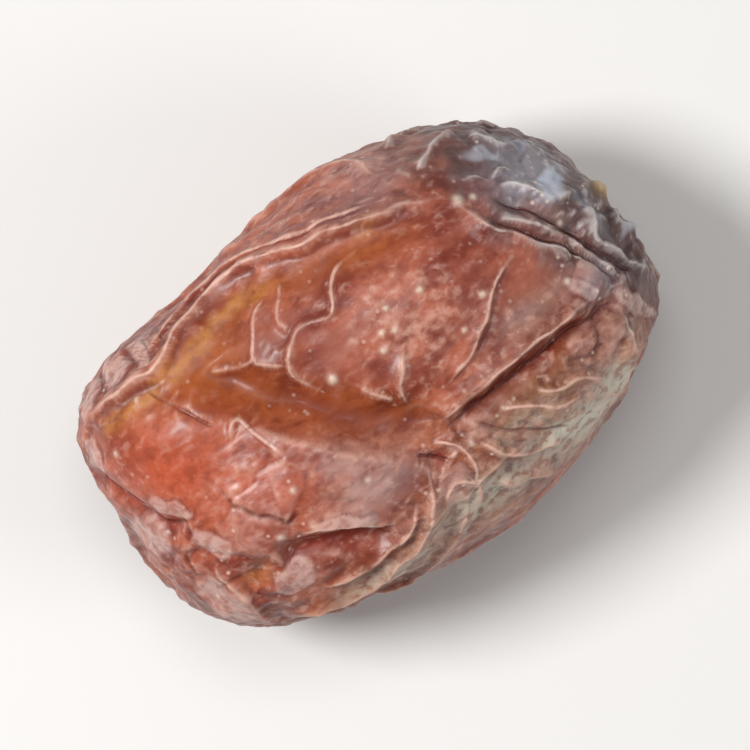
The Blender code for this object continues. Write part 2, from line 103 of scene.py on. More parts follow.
def outline_terms(bearing):
    """One column for each wave of the outline, at every bearing."""
    waves = np.arange(1, OUTLINE_WAVES + 1)
    turns = np.multiply.outer(bearing, waves)
    ones = np.ones(np.shape(bearing) + (1,))
    return np.concatenate([ones, np.cos(turns), np.sin(turns)], axis=-1)


def outline_coefficients():
    """Waves of the radius against the bearing, fitted to OUTLINE."""
    points = np.array(OUTLINE)
    bearing = np.arctan2(points[:, 1], points[:, 0])
    radius = np.hypot(points[:, 0], points[:, 1])
    return np.linalg.lstsq(outline_terms(bearing), radius, rcond=None)[0]


OUTLINE_FIT = outline_coefficients()


def reach_at(bearing):
    """How far the body reaches at its widest level."""
    return outline_terms(bearing) @ OUTLINE_FIT - OUTLINE_INSET


def shoulder_at(bearing, elevation):
    """How square the body's shoulder is, above and below its widest level."""
    above = SHOULDER_ABOVE + SHOULDER_LEAN * np.sin(bearing)
    return SHOULDER_BELOW + (above - SHOULDER_BELOW) * smoothstep(-0.3, 0.3, elevation)


def body_point(bearing, elevation):
    """Point of the smooth body in a direction from its middle."""
    shoulder = shoulder_at(bearing, elevation)
    swell = np.where(elevation >= 0.0, TOP, BOTTOM)
    level = (np.cos(elevation) / reach_at(bearing)) ** shoulder
    upright = (np.abs(np.sin(elevation)) / swell) ** shoulder
    radius = (level + upright) ** (-1.0 / shoulder)
    flat = radius * np.cos(elevation)
    return np.stack([flat * np.cos(bearing), flat * np.sin(bearing), radius * np.sin(elevation)], axis=-1)


def point_above(x, y):
    """Point of the smooth body straight above x, y."""
    bearing = np.arctan2(y, x)
    shoulder = shoulder_at(bearing, 1.0)
    share = np.clip(np.hypot(x, y) / reach_at(bearing), 0.0, 0.995)
    z = TOP * (1.0 - share**shoulder) ** (1.0 / shoulder)
    return np.stack([x, y, z], axis=-1)


reach_each_way = reach_at(np.radians([0.0, 90.0, 180.0, 270.0]))
print("body at its widest:", np.round(reach_each_way, 1), "mm from the middle")

# %% [markdown]
# ## A mesh with room for wrinkles
# A wrinkle a third of a millimetre wide needs corners closer than that everywhere, the ends included. A
# globe with poles crowds its corners at the ends, so the mesh starts from a cube instead: it is cut into
# even squares, rounded into a ball and then drawn out to the body. The ball's corners are lifted towards
# its top first, because the creased upper side needs more of them than the smoother underside.

# %% A rounded cube drawn out to the body
GRID = 127  # squares along each edge of the cube
LIFT = 0.30  # the corners are drawn up by this share, so that the creased top gets more of them


def rounded_cube(squares):
    """A ball of six square patches."""
    mesh = bmesh.new()
    bmesh.ops.create_cube(mesh, size=2.0)
    bmesh.ops.subdivide_edges(mesh, edges=mesh.edges[:], cuts=squares - 1, use_grid_fill=True)
    for corner in mesh.verts:
        corner.co = [math.tan(value * math.pi / 4.0) for value in corner.co]
        corner.co.normalize()
        corner.co.z += LIFT
        corner.co.normalize()
    return mesh


def corners_of(mesh):
    """The mesh's corners as an array."""
    return np.array([corner.co[:] for corner in mesh.verts])


def move_corners(mesh, places):
    """Puts the mesh's corners at the given places."""
    for corner, place in zip(mesh.verts, places):
        corner.co = place
    mesh.normal_update()


skin_mesh = rounded_cube(GRID)
globe = corners_of(skin_mesh) * np.array([max(x for x, _ in OUTLINE), max(y for _, y in OUTLINE), TOP])
bearings = np.arctan2(globe[:, 1], globe[:, 0])
elevations = np.arctan2(globe[:, 2], np.hypot(globe[:, 0], globe[:, 1]))
body = body_point(bearings, elevations)
move_corners(skin_mesh, body)
outwards = np.array([corner.normal[:] for corner in skin_mesh.verts])
print("skin:", len(body), "corners,", 2 * len(skin_mesh.faces), "triangles")

# %% [markdown]
# ## Folds seen from above
# Each fold of the upper side is a short route of points over the body. A positive height raises a ridge and
# a negative one sinks a furrow. A real fold is seldom even: it falls steeply on one side and runs out
# gently on the other, which is its lean, and its line wavers. So the distance to a route is measured from
# places that noise has pushed about a little, and the gentle side counts distances for less. Blender has a
# noise that gives a whole vector, but it differs from run to run, so the push is made of three plain ones
# that start far apart.

# %% The folds: height, half-width, lean and route
FOLDS_ABOVE = {  # lean 1 is gentle to the left of the route and -1 to its right
    "far long ridge": (0.62, 0.34, 1, [
        (-16.9, 5.2), (-15.6, 6.7), (-14, 7.2), (-11.5, 7.3), (-9.6, 7.4), (-8, 8.2), (-5.5, 8.8),
        (-3.2, 9.2), (-1, 8.9), (1, 8.2), (3.2, 7.85), (5.2, 7.25), (7.2, 6.75), (9, 6.1),
        (9.9, 5.3)]),
    "far second ridge": (0.3, 0.26, 1, [
        (-11, 8.3), (-8, 9.1), (-5, 9.7), (-2.5, 9.9), (0, 9.3), (2.6, 8.7), (5, 8.2),
        (7, 7.6)]),
    "far trough": (-0.3, 1.2, 0, [
        (-14.5, 5.7), (-12, 5.8), (-9, 6.1), (-6, 7), (-3, 7.7), (0, 6.9), (3, 6.3),
        (6, 5.6), (8.5, 4.7)]),
    "far flank left": (0.22, 0.36, 1, [(-9.5, 9.5), (-7, 10.2), (-4.5, 10.6), (-2, 10.6), (0.5, 10.7)]),
    "far flank right": (0.34, 0.4, 1, [
        (-1.8, 11), (2.5, 11.3), (5, 11.1), (6.5, 10.4), (6.7, 9.5), (7.3, 8.8)]),
    "far flank tip": (0.36, 0.34, 0, [(8.3, 10.1), (9.5, 10.4), (11, 10.1)]),
    "far flank low": (0.34, 0.3, 0, [(9, 8), (10, 8.4), (10.9, 8.7), (12.2, 8.75)]),
    "pucker one": (-0.26, 0.45, 0, [(-13.4, 7.6), (-13.3, 8.5), (-13, 9.4)]),
    "pucker two": (-0.22, 0.42, 0, [(-11.2, 7.7), (-11, 8.5), (-10.9, 9.4)]),
    "pucker three": (-0.18, 0.4, 0, [(-10.1, 7.8), (-9.8, 8.6), (-9.8, 9.4)]),
    "pucker four": (-0.18, 0.4, 0, [(-8.9, 8), (-8.6, 8.8), (-8.7, 9.5)]),
    "tip inner crest": (0.52, 0.34, -1, [
        (9.9, 5.2), (10.2, 3.7), (11, 2.4), (12, 1.2), (12.8, 0.2), (13.6, -1), (14.3, -2.4),
        (14.9, -3.8)]),
    "tip slit": (-0.38, 0.4, 0, [
        (10.7, 3.6), (11.5, 2.5), (12.4, 1.4), (13.2, 0.2), (13.9, -1.2), (14.6, -2.8), (15.2, -4.2)]),
    "tip outer crest": (0.42, 0.34, 1, [
        (11.4, 3.2), (12.6, 1.9), (13.7, 0.5), (14.4, -1.1), (15, -2.7), (15.5, -4)]),
    "tip furrow": (-0.6, 0.5, 0, [
        (11.6, 4.6), (13, 2.9), (13.9, 1.4), (14.5, 0.1), (15.1, -1.6), (15.8, -3.2), (16.6, -4.6)]),
    "tip hook": (0.6, 0.4, -1, [
        (16, 1.4), (15.6, 0), (15.4, -1.2), (15.9, -2.4), (16.5, -3.6), (17.2, -4.5)]),
    "tip edge": (0.34, 0.3, 0, [(17.2, 0), (16.9, -1), (17.3, -1.6), (17.9, -2)]),
    "tip crumple far": (0.4, 0.34, 1, [(12.8, 8.1), (13.5, 7.5), (14.3, 6.6), (15.2, 6.1)]),
    "tip crumple mid": (0.34, 0.3, 1, [
        (12.7, 4.6), (13.4, 4.5), (13.9, 3.7), (14.3, 2.8), (15, 2.1), (16, 1.9)]),
    "tip crumple inner": (0.3, 0.26, -1, [
        (10.9, 6.3), (12, 6), (12.6, 5.2), (13.4, 5.6), (14.2, 4.9)]),
    "near ridge": (0.7, 0.42, 1, [
        (1.4, -4.9), (3, -4.5), (4.6, -4.35), (7, -4.1), (9, -4), (11, -4), (13.4, -3.8)]),
    "near furrow": (-0.7, 0.48, 0, [
        (1.6, -5.5), (3.2, -5.2), (6, -5.1), (8, -4.95), (10, -4.85), (12, -4.75), (15, -5)]),
    "panel arc": (0.3, 0.24, -1, [
        (10.9, 0.9), (9.8, 0.5), (8.9, 0.1), (8.2, -0.6), (7.3, -1.4), (6, -2.2), (5, -2.7),
        (3, -3.2)]),
    "panel stroke one": (0.22, 0.26, -1, [(2.6, 0), (1.8, -0.9), (1, -1.9), (0.7, -3)]),
    "panel stroke two": (0.2, 0.26, 0, [(-0.9, -0.4), (-0.4, -1.2), (0.2, -2.3)]),
    "panel vein": (0.26, 0.24, 1, [
        (3.9, 6.4), (2.2, 6.1), (1.2, 5.4), (0.5, 4.3), (-0.2, 4.05), (-1.4, 4.4), (-2.6, 4.1),
        (-3.5, 3.1), (-3.5, 2.1), (-2.6, 0.8)]),
    "panel branch": (0.22, 0.22, 1, [(-2.5, 7.2), (-4, 6), (-5, 4.7), (-4.5, 3.7), (-3.5, 3.1)]),
    "panel twig": (0.2, 0.22, 0, [(-4.7, 4.6), (-6.2, 4.8), (-7.6, 5.6)]),
    "panel side": (0.16, 0.22, 1, [(-1.2, 7.4), (-2.2, 6.2), (-2.6, 5.4), (-2.4, 4.4)]),
    "amber furrow": (-1.25, 1.55, 0, [
        (-9.3, 5.6), (-7.2, 4.2), (-5.6, 2.4), (-4.1, 0.6), (-2.5, -1.2), (-1, -3), (0.6, -4.2),
        (2.6, -4.9)]),
    "near bank": (0.42, 0.6, -1, [
        (-8, 2.4), (-6.9, 0.6), (-6.1, -0.5), (-4.8, -1.9), (-3.6, -3.2), (-2.2, -4.4), (-0.8, -5.6)]),
    "bank hook": (0.22, 0.24, 0, [
        (-8.9, 1.2), (-8.3, 2.1), (-7.8, 2.3), (-7.4, 1.2), (-7.1, 0), (-6.6, -1.6)]),
    "stem crease": (-0.18, 0.2, 0, [(-11.3, 7), (-10.6, 5.4), (-9.9, 4), (-8.9, 2.4)]),
    "stem fold": (-0.6, 0.4, 0, [
        (-16.6, 5), (-16.3, 3.8), (-15.9, 2.5), (-15.3, 1), (-14.6, -0.4), (-13.3, -1.2)]),
    "stem near edge": (0.4, 0.36, -1, [(-13.7, -4), (-13.6, -5.5), (-13.3, -6.8), (-13.2, -8.8)]),
    "hollow lip": (0.5, 0.34, 1, [
        (-8.6, -5.3), (-7.4, -5.6), (-6.3, -6.2), (-5.4, -6.8), (-4.5, -7.7), (-3.8, -8.2)]),
    "red hollow": (-1.15, 0.95, 0, [(-10.6, -5.9), (-8.6, -6.6), (-6.8, -7.4), (-5.2, -8.2), (-3.8, -8.8)]),
    "near band": (0.6, 0.4, -1, [
        (-12.5, -8.6), (-11, -9.2), (-9.5, -9.7), (-8, -10), (-6.5, -10.1), (-5, -10),
        (-3.5, -9.8), (-2.4, -9.2), (-1.5, -8.4), (-0.6, -7.4), (0, -6)]),
    "near band second": (0.3, 0.26, 0, [
        (-9.5, -8.8), (-7, -9.2), (-4.5, -9.1), (-3, -8.6), (-1.8, -7.8)]),
    "near band third": (0.34, 0.28, -1, [
        (-8, -11), (-5.5, -11.4), (-3, -11.4), (-0.8, -10.6), (0.6, -9.4)]),
    "near crumple one": (0.36, 0.3, 1, [(3, -6.6), (3.7, -8), (5.2, -9), (7.2, -9.4)]),
    "near crumple two": (0.34, 0.28, 1, [(0.2, -9.6), (1, -9), (2.2, -8.6), (3.6, -8.5)]),
    "near crumple three": (0.4, 0.34, 1, [(12.6, -8.6), (13.4, -7.2), (14.3, -5.6)]),
    "near crumple four": (0.3, 0.26, -1, [(5, -6.2), (6.6, -6.6), (8, -7.6), (9.6, -7.8)]),
    "near crumple five": (0.28, 0.26, -1, [(0.9, -5.6), (1.9, -6.6), (2, -7.8), (1.4, -8.8)]),
    "near crumple six": (0.28, 0.26, 1, [(-0.2, -7.7), (0.4, -7.2), (1, -6.9), (1.7, -6.8)]),
    "near crumple seven": (0.28, 0.24, -1, [
        (-0.8, -8.9), (-0.2, -8.3), (0.7, -8.1), (1.5, -8.8), (1.3, -9.7), (0.5, -10.2)]),
    "near crumple eight": (0.28, 0.24, 1, [(2.6, -9.6), (3.2, -10.2), (4.4, -10.4), (5.6, -10.9)]),
    "near crumple nine": (0.26, 0.24, -1, [(7.6, -6.2), (8.6, -7), (9.9, -7), (11, -7.8)]),
    "near crumple ten": (0.26, 0.24, 1, [(9.4, -9.4), (10.6, -8.9), (11.6, -9.2), (12.8, -8.2)]),
    "near crease one": (-0.25, 0.3, 0, [(3.4, -5.9), (4.6, -7.2), (6.4, -8.3), (8, -9.2)]),
    "near crease two": (-0.22, 0.28, 0, [(9.8, -5.8), (11.2, -6.6), (12.4, -6.4)]),
    "pit": (-0.45, 0.4, 0, [(-0.4, -5.6), (0.2, -6.2), (0.9, -7.2)]),
}
BROAD = 0.9  # furrows at least this wide are rounded troughs, and narrower ones are creases
GENTLE = 2.4  # how much further a fold reaches on its gentle side
VEIN_SHARE = 0.25  # share of a ridge's height that stands in a thin vein along its crest
VEIN_WIDTH = 0.24
POINT_SOFTNESS = 0.20  # how far the point of a sharp fold is rounded off
BLEND = 6.0  # where folds of one kind cross, a high value keeps the higher and a low one adds them up
WAVER = 0.20  # how far noise pushes a fold's line, and the size of its waves
WAVER_SIZE = 1.5
CHORD_DEPTH = 0.8  # a route's straight steps may run this far under the rounded skin
DRIFT_STARTS = [Vector((31.4, 0.0, 0.0)), Vector((0.0, 47.9, 0.0)), Vector((0.0, 0.0, 59.2))]

LOBES_ABOVE = [  # x, y, half-length, half-width, height
    (4, 2.4, 6.2, 4.2, 0.75),  # middle panel
    (-12.5, 2, 3.6, 3.8, 0.55),  # pillow at the stem end
    (-9, -3.2, 4.5, 2.2, 0.45),
    (8.5, -7.6, 5, 1.8, 0.45),  # near panel
    (-7.5, 6, 3, 1.6, -0.5),
    (13.2, 5.6, 2.6, 2, -0.7),
    (1, -6.6, 2, 1.5, -0.45),
    (-12.2, -5.9, 1.2, 0.9, -0.4),
]


# %% Distance to a route, and the relief of the folds
def smooth_route(points):
    """Evenly stepped points of a smooth curve through the given ones (Catmull-Rom)."""
    knots = np.array([points[0], *points, points[-1]], float)
    pieces = []
    for a, b, c, d in zip(knots, knots[1:], knots[2:], knots[3:]):
        steps = max(2, math.ceil(np.linalg.norm(c - b) / ROUTE_STEP))
        t = np.linspace(0.0, 1.0, steps, endpoint=False)[:, None]
        squared = (2 * a - 5 * b + 4 * c - d) * t**2
        cubed = (3 * b - a - 3 * c + d) * t**3
        pieces.append(0.5 * (2 * b + (c - a) * t + squared + cubed))
    return np.concatenate([*pieces, knots[-1:]])


def distance_to_route(places, route):
    """Distance from each place to the route, measured along the skin, how far along the route that is from 0
    to 1, and 1 on its left or -1."""
    nearest = np.full(len(places), 1e9)
    along = np.zeros(len(places))
    side = np.zeros(len(places))
    for i, (start, end) in enumerate(zip(route, route[1:])):
        span = end - start
        away = places - start
        share = np.clip(away @ span / (span @ span), 0.0, 1.0)
        across = away - share[:, None] * span
        upright = (across * outwards).sum(axis=1)
        gap = np.linalg.norm(across - upright[:, None] * outwards, axis=1)
        gap = np.hypot(gap, np.maximum(np.abs(upright) - CHORD_DEPTH, 0.0))
        closer = gap < nearest
        nearest[closer] = gap[closer]
        along[closer] = (i + share[closer]) / (len(route) - 1)
        side[closer] = np.sign(span[0] * away[closer, 1] - span[1] * away[closer, 0])
    return nearest, along, side


def drift(places, size):
    """Smooth noise in x, y and z at each place, with waves of that size."""
    found = np.empty((len(places), 3))
    for row, place in enumerate(places):
        at = Vector(place) / size
        found[row] = [noise.noise(at + start) for start in DRIFT_STARTS]
    return found


def fold_distances(places):
    """For each fold: the distance from each place, a taper that is 0 at its ends, and the side."""
    push = drift(places, WAVER_SIZE)
    push -= (push * outwards).sum(axis=1)[:, None] * outwards
    wavered = places + WAVER * push
    found = {}
    for name, (_, _, _, points) in FOLDS_ABOVE.items():
        plan = smooth_route(points)
        gap, along, side = distance_to_route(wavered, point_above(plan[:, 0], plan[:, 1]))
        taper = smoothstep(0.0, 0.18, along) * smoothstep(0.0, 0.18, 1.0 - along)
        found[name] = gap, taper, side
    return found


def pointed(gap, width):
    """1 on a line, falling off in a point like a tent with hollow sides."""
    return np.exp(-(np.hypot(gap, POINT_SOFTNESS) - POINT_SOFTNESS) / width)


def ridge_profile(gap, side, width, lean):
    """A swelling that leans, with a thin vein on its crest."""
    wide = width * np.where(side * lean > 0.0, GENTLE, 1.0)
    return (1.0 - VEIN_SHARE) * np.exp(-((gap / wide) ** 2)) + VEIN_SHARE * pointed(gap, VEIN_WIDTH)


def furrow_profile(gap, width):
    """A trough or a crease."""
    return np.exp(-((gap / width) ** 2)) if width >= BROAD else pointed(gap, width)


def fold_relief(distances):
    """Height of the ridges less the depth of the furrows."""
    ridges = np.zeros(len(body))
    furrows = np.zeros(len(body))
    for name, (height, width, lean, _) in FOLDS_ABOVE.items():
        gap, taper, side = distances[name]
        if height > 0.0:
            ridges += (height * taper * ridge_profile(gap, side, width, lean)) ** BLEND
        else:
            furrows += (-height * taper * furrow_profile(gap, width)) ** BLEND
    return ridges ** (1.0 / BLEND) - furrows ** (1.0 / BLEND)


def lobe_relief(places):
    """The broad swellings and dips of the top."""
    height = np.zeros(len(places))
    above = smoothstep(0.0, 3.0, places[:, 2])
    for x, y, long, wide, rise in LOBES_ABOVE:
        spread = ((places[:, 0] - x) / long) ** 2 + ((places[:, 1] - y) / wide) ** 2
        height += rise * above * np.exp(-spread)
    return height


def span(values):
    """The lowest and the highest value, to print."""
    return f"from {values.min():.2f} to {values.max():.2f} mm"


distances = fold_distances(body)
folds = fold_relief(distances) + lobe_relief(body)
print("folds:", len(FOLDS_ABOVE), "of them, relief", span(folds))

# %% [markdown]
# ## Flat pieces of skin
# Skin that has come off the shrinking flesh settles into many nearly flat pieces, each tilted its own way,
# which meet in ridges and creases. Points are scattered over the body, and each owns the skin nearest to
# it, with a level and a tilt of its own. Close to the line where two pieces meet their heights are blended,
# which makes the edge soft. Large pieces shape the flanks and the underside, and small ones the crackled
# skin between the folds.

# %% Pieces of skin round scattered points
NEIGHBOURS = 4


def scattered_points(count, jitter, draw):
    """Points spread evenly over the body, each moved a little at random.

    One that is moved past the top or the bottom comes out as not a number, and owns no skin."""
    found = []
    for i in range(count):
        level = 1.0 - 2.0 * (i + 0.5) / count
        bearing = i * math.pi * (3.0 - math.sqrt(5.0)) + draw.uniform(-jitter, jitter)
        elevation = math.asin(level) + draw.uniform(-jitter, jitter) * 0.5
        found.append(body_point(bearing, elevation))
    return np.array(found)


def skin_pieces(places, count, jitter, stretch, softness, edge_width, seed):
    """For each place: the blended height of its piece, how far inside the piece it is, how near it is to a
    strong and to a weak edge, and its piece's own number from 0 to 1."""
    draw = random.Random(seed)
    middles = scattered_points(count, jitter, draw)
    levels = np.array([draw.uniform(-1.0, 1.0) for _ in range(count)])
    squeeze = np.array([1.0 / stretch, 1.0, 1.0])
    tilts = np.array([[draw.gauss(0.0, 1.0) for _ in range(3)] for _ in range(count)]) * squeeze
    numbers = np.array([draw.random() for _ in range(count)])
    tree = kdtree.KDTree(count)
    for i, middle in enumerate(middles * squeeze):
        tree.insert(middle, i)
    tree.balance()
    owners = np.empty((len(places), NEIGHBOURS), int)
    gaps = np.empty((len(places), NEIGHBOURS))
    for row, place in enumerate(places * squeeze):
        for column, (_, owner, gap) in enumerate(tree.find_n(place, NEIGHBOURS)):
            owners[row, column] = owner
            gaps[row, column] = gap
    gaps -= gaps[:, :1].copy()
    weights = np.exp(-gaps / softness)
    weights /= weights.sum(axis=1, keepdims=True)
    size = math.sqrt(BODY_AREA / count)
    lean = np.einsum("pni,pni->pn", tilts[owners], places[:, None, :] - middles[owners]) / size
    height = (weights * (levels[owners] + lean)).sum(axis=1)
    strong = np.zeros(len(places))
    weak = np.zeros(len(places))
    # Each pair of pieces has a lot of its own, which makes their edge a strong one, a weak one or neither
    for a, b in itertools.combinations(range(NEIGHBOURS), 2):
        first, second = np.sort(owners[:, [a, b]], axis=1).T
        strength = np.modf(np.abs(np.sin(first * 12.99 + second * 78.23) * 43758.5))[0]
        near_edge = np.exp(-(((gaps[:, a] + gaps[:, b]) / edge_width) ** 2))
        strong = np.maximum(strong, smoothstep(0.30, 0.70, strength) * near_edge)
        weak = np.maximum(weak, smoothstep(0.35, 0.10, strength) * near_edge)
    return height, gaps[:, 1], strong, weak, numbers[owners[:, 0]]


def wandering(places, reach, size):
    """The places pushed about by noise, so that lines drawn between them are not straight."""
    return places + reach * drift(places, size)


# %% Large pieces on the flanks and underside
BODY_AREA = 2250.0  # square millimetres
PANELS = 46
PANEL_SEED = 11
PANEL_HEIGHT = 0.24
PANEL_RIDGE = 0.55
PANEL_CREASE = 0.40
PANEL_EDGE = 1.10  # width of the ridges and creases
PANEL_DISH = 0.50
PANEL_DISH_REACH = 3.6
PANELS_FADE = (-0.42, 0.12)  # they fade out between these shares of the height up to the top

loose = 1.0 - smoothstep(*PANELS_FADE, body[:, 2] / TOP)
level, inside, strong, weak, _ = skin_pieces(
    wandering(body, 1.3, 4.0), PANELS, 0.5, 2.3, 0.50, PANEL_EDGE, PANEL_SEED)
dish = PANEL_DISH * smoothstep(0.0, PANEL_DISH_REACH, inside)
panels = loose * (PANEL_HEIGHT * level + PANEL_RIDGE * strong - PANEL_CREASE * weak - dish)
print("large pieces:", PANELS, "of them, relief", span(panels))

# %% Small pieces where the skin is crackled
FACETS = 700
FACET_SEED = 29
FACET_HEIGHT = 0.060
FACET_CREASE = 0.16
FACET_EDGE = 0.36


def from_middle(places, x, y, turn):
    """How far places lie from x, y, along and across a shape that is turned by that many degrees."""
    c, s = math.cos(math.radians(turn)), math.sin(math.radians(turn))
    along = (places[:, 0] - x) * c + (places[:, 1] - y) * s
    across = (places[:, 1] - y) * c - (places[:, 0] - x) * s
    return along, across


def over_plan(x, y, long, wide, turn=0.0):
    """1 at a place of the upper side, fading outwards; the turn is in degrees."""
    along, across = from_middle(body, x, y, turn)
    return np.exp(-((along / long) ** 2) - (across / wide) ** 2) * smoothstep(-1.0, 4.0, body[:, 2])


def most(*masks):
    """The strongest of the masks at each corner."""
    return np.maximum.reduce(masks)


crackled = most(
    over_plan(-9.5, -4.0, 4.5, 3.6), over_plan(-14.5, -5.0, 3.0, 4.5), over_plan(4.0, -8.5, 8.0, 2.8),
    over_plan(13.0, -6.0, 4.0, 4.0), 0.9 * smoothstep(11.0, 14.0, body[:, 0]),
    over_plan(-13.0, 8.5, 3.0, 1.5), 0.5 * over_plan(2.0, 10.5, 14.0, 2.0),
    0.30 * smoothstep(2.0, -3.0, body[:, 2]))
level, _, facet_edge, _, facet_number = skin_pieces(
    wandering(body, 0.45, 1.4), FACETS, 0.35, 1.25, 0.16, FACET_EDGE, FACET_SEED)
facets = crackled * (FACET_HEIGHT * level - FACET_CREASE * facet_edge)
print("small pieces:", FACETS, "of them, relief", span(facets))

# %% [markdown]
# ## Flat pieces that catch the light
# By the stem end some flat flakes of skin have dried paler than the rest, each with a dark rim round it, and
# one more, on the lip of the near hollow, is a painted highlight.
# Colour alone would leave them without an edge, so each is a rounded oblong on the mesh that stands up a
# little, inside a larger one that is sunk. Noise pushes both about, so that their edges are not neat ovals.

# %% Pale pieces and their rims
PIECE_SQUARENESS = 2.5  # 2 would be an ellipse
PIECE_WANDER = (0.35, 1.1)  # how far noise pushes the edges, and the size of its waves
PIECE_SOFTNESS = 0.16
PIECE_HEIGHT = 0.05
RIM_LONGER, RIM_WIDER = 1.25, 1.35  # times the piece's own length and width
RIM_SOFTNESS = 0.15
RIM_DEPTH = 0.03
PALE_PIECES_AND_GLINT = [  # x, y, half-length, half-width, turn in degrees
    (-12.1, 8.8, 1, 0.7, 20), (-14.4, 8.4, 1.5, 0.6, 60), (-15.9, 5.2, 1.2, 0.5, 75),
    (-15.8, -0.5, 1.5, 0.7, -72), (-13.8, 0.2, 1.4, 0.5, -55), (-13, -3, 1.3, 0.65, -65),
    (-14.5, -6, 1.9, 0.9, -65), (-10.4, -7.4, 1.2, 0.8, -20), (-10.2, 8.7, 0.6, 0.8, 0),
    # the last piece below, on the lip of the near hollow, is a painted highlight
    (13, -3, 1.2, 0.45, -60), (15.2, -5.6, 1.3, 0.5, -70), (-6.1, -6.2, 2, 0.34, -28),
]
wavered = wandering(body, *PIECE_WANDER)


def on_pieces(pieces, softness):
    """1 on flat pieces of skin with a fairly sharp edge: x, y, half-length, half-width and turn of each."""
    found = np.zeros(len(body))
    for x, y, long, wide, turn in pieces:
        along, across = from_middle(wavered, x, y, turn)
        reach = (np.abs(along) / long) ** PIECE_SQUARENESS + (np.abs(across) / wide) ** PIECE_SQUARENESS
        edge = reach ** (1.0 / PIECE_SQUARENESS)
        found = np.maximum(found, 1.0 - smoothstep(1.0 - softness, 1.0 + softness, edge))
    return found * smoothstep(-3.0, 1.0, body[:, 2])


rims = [(x, y, RIM_LONGER * long, RIM_WIDER * wide, turn) for x, y, long, wide, turn in PALE_PIECES_AND_GLINT]
pale_piece_and_glint = on_pieces(PALE_PIECES_AND_GLINT, PIECE_SOFTNESS)
piece_rim = on_pieces(rims, RIM_SOFTNESS) * (1.0 - pale_piece_and_glint)
piece_relief = PIECE_HEIGHT * pale_piece_and_glint - RIM_DEPTH * piece_rim
print("pale pieces:", len(PALE_PIECES_AND_GLINT))

# %% [markdown]
# ## Crumpled skin
# Between the folds the skin is crumpled like thin leather: sharp little crests that branch, fade and start
# again, with smooth hollows between. Ridged noise has just that look, because each finer layer of it is
# strong only where the coarser one is high. Skin that is stretched over plump flesh keeps little of it. Low
# on the flanks the skin hangs in lengthwise folds instead: the same noise, drawn out along the fruit, makes
# them.

# %% Crumples, and where the skin is tight
CRUMPLES = [  # size, lengthwise stretch, height, start of the noise
    (4.6, 1.9, 0.40, 3.0),
    (1.7, 1.6, 0.15, 17.0),
]
CRUMPLES_LEVEL = 0.4  # this share of their height lies inside the body
NOISE_RANGE = (0.25, 2.0)  # the noise's usual lowest and highest values
CRUMPLE_LAYERS = 4
TIGHT_SPOTS = [  # x, y, radius, tightness
    (-12.5, 2.5, 4.4, 0.7), (3.5, 2.4, 5.8, 0.65), (-7, 5.2, 3.6, 0.85), (-2.5, -1, 2.2, 0.6),
    (9.5, -1.5, 3, 0.5), (0, 10, 3, 0.6), (-5, 9.5, 3, 0.6), (5, -6.5, 2, 0.4),
    (-9, -3.2, 4.6, 0.75),
]
TIP_SLACK = 1.5  # the crumpled tip has this much more of it than other slack skin
LONG_FOLDS = (3.1, 4.5, 0.62, 41.0)  # size, lengthwise stretch, height and start of the noise
LONG_FOLDS_LEVEL = 0.78  # the same share for them
LONG_FOLDS_FADE = (4.5, 0.5)  # they fade in between these heights above the widest level
LONG_FOLDS_ENDS = (17.0, 14.0)  # and between these distances from the middle, towards it


def crumple(places, size, stretch, start):
    """Ridged noise, near 0 in the hollows and near 1 on the crests."""
    found = np.empty(len(places))
    offset = Vector((start, -start, 0.5 * start))
    pushes = 0.45 * drift(places, 1.3 * size)
    for i, (place, push) in enumerate(zip(places, pushes)):
        at = Vector((place[0] / stretch, place[1], place[2])) / size + Vector(push) + offset
        found[i] = noise.ridged_multi_fractal(at, 1.0, 2.1, CRUMPLE_LAYERS, 1.0, 1.6)
    low, high = NOISE_RANGE
    return np.clip((found - low) / (high - low), -0.1, 1.2)


def tightness(places):
    """1 where the skin is stretched over plump flesh, 0 where it is slack."""
    tight = np.zeros(len(places))
    for x, y, radius, most_tight in TIGHT_SPOTS:
        gap = np.hypot(places[:, 0] - x, places[:, 1] - y)
        tight = np.maximum(tight, most_tight * (1.0 - smoothstep(0.5 * radius, 1.2 * radius, gap)))
    return tight * smoothstep(1.0, 5.0, places[:, 2])


tight = tightness(body)
slack = (1.0 - tight) * (1.0 + (TIP_SLACK - 1.0) * smoothstep(11.0, 15.0, body[:, 0]))
crumples = np.zeros(len(body))
for size, stretch, height, start in CRUMPLES:
    crumples += height * slack * (crumple(body, size, stretch, start) - CRUMPLES_LEVEL)
size, stretch, height, start = LONG_FOLDS
on_flanks = smoothstep(*LONG_FOLDS_FADE, body[:, 2]) * smoothstep(*LONG_FOLDS_ENDS, np.abs(body[:, 0]))
crumples += height * on_flanks * (crumple(body, size, stretch, start) - LONG_FOLDS_LEVEL)
print("crumples:", span(crumples))
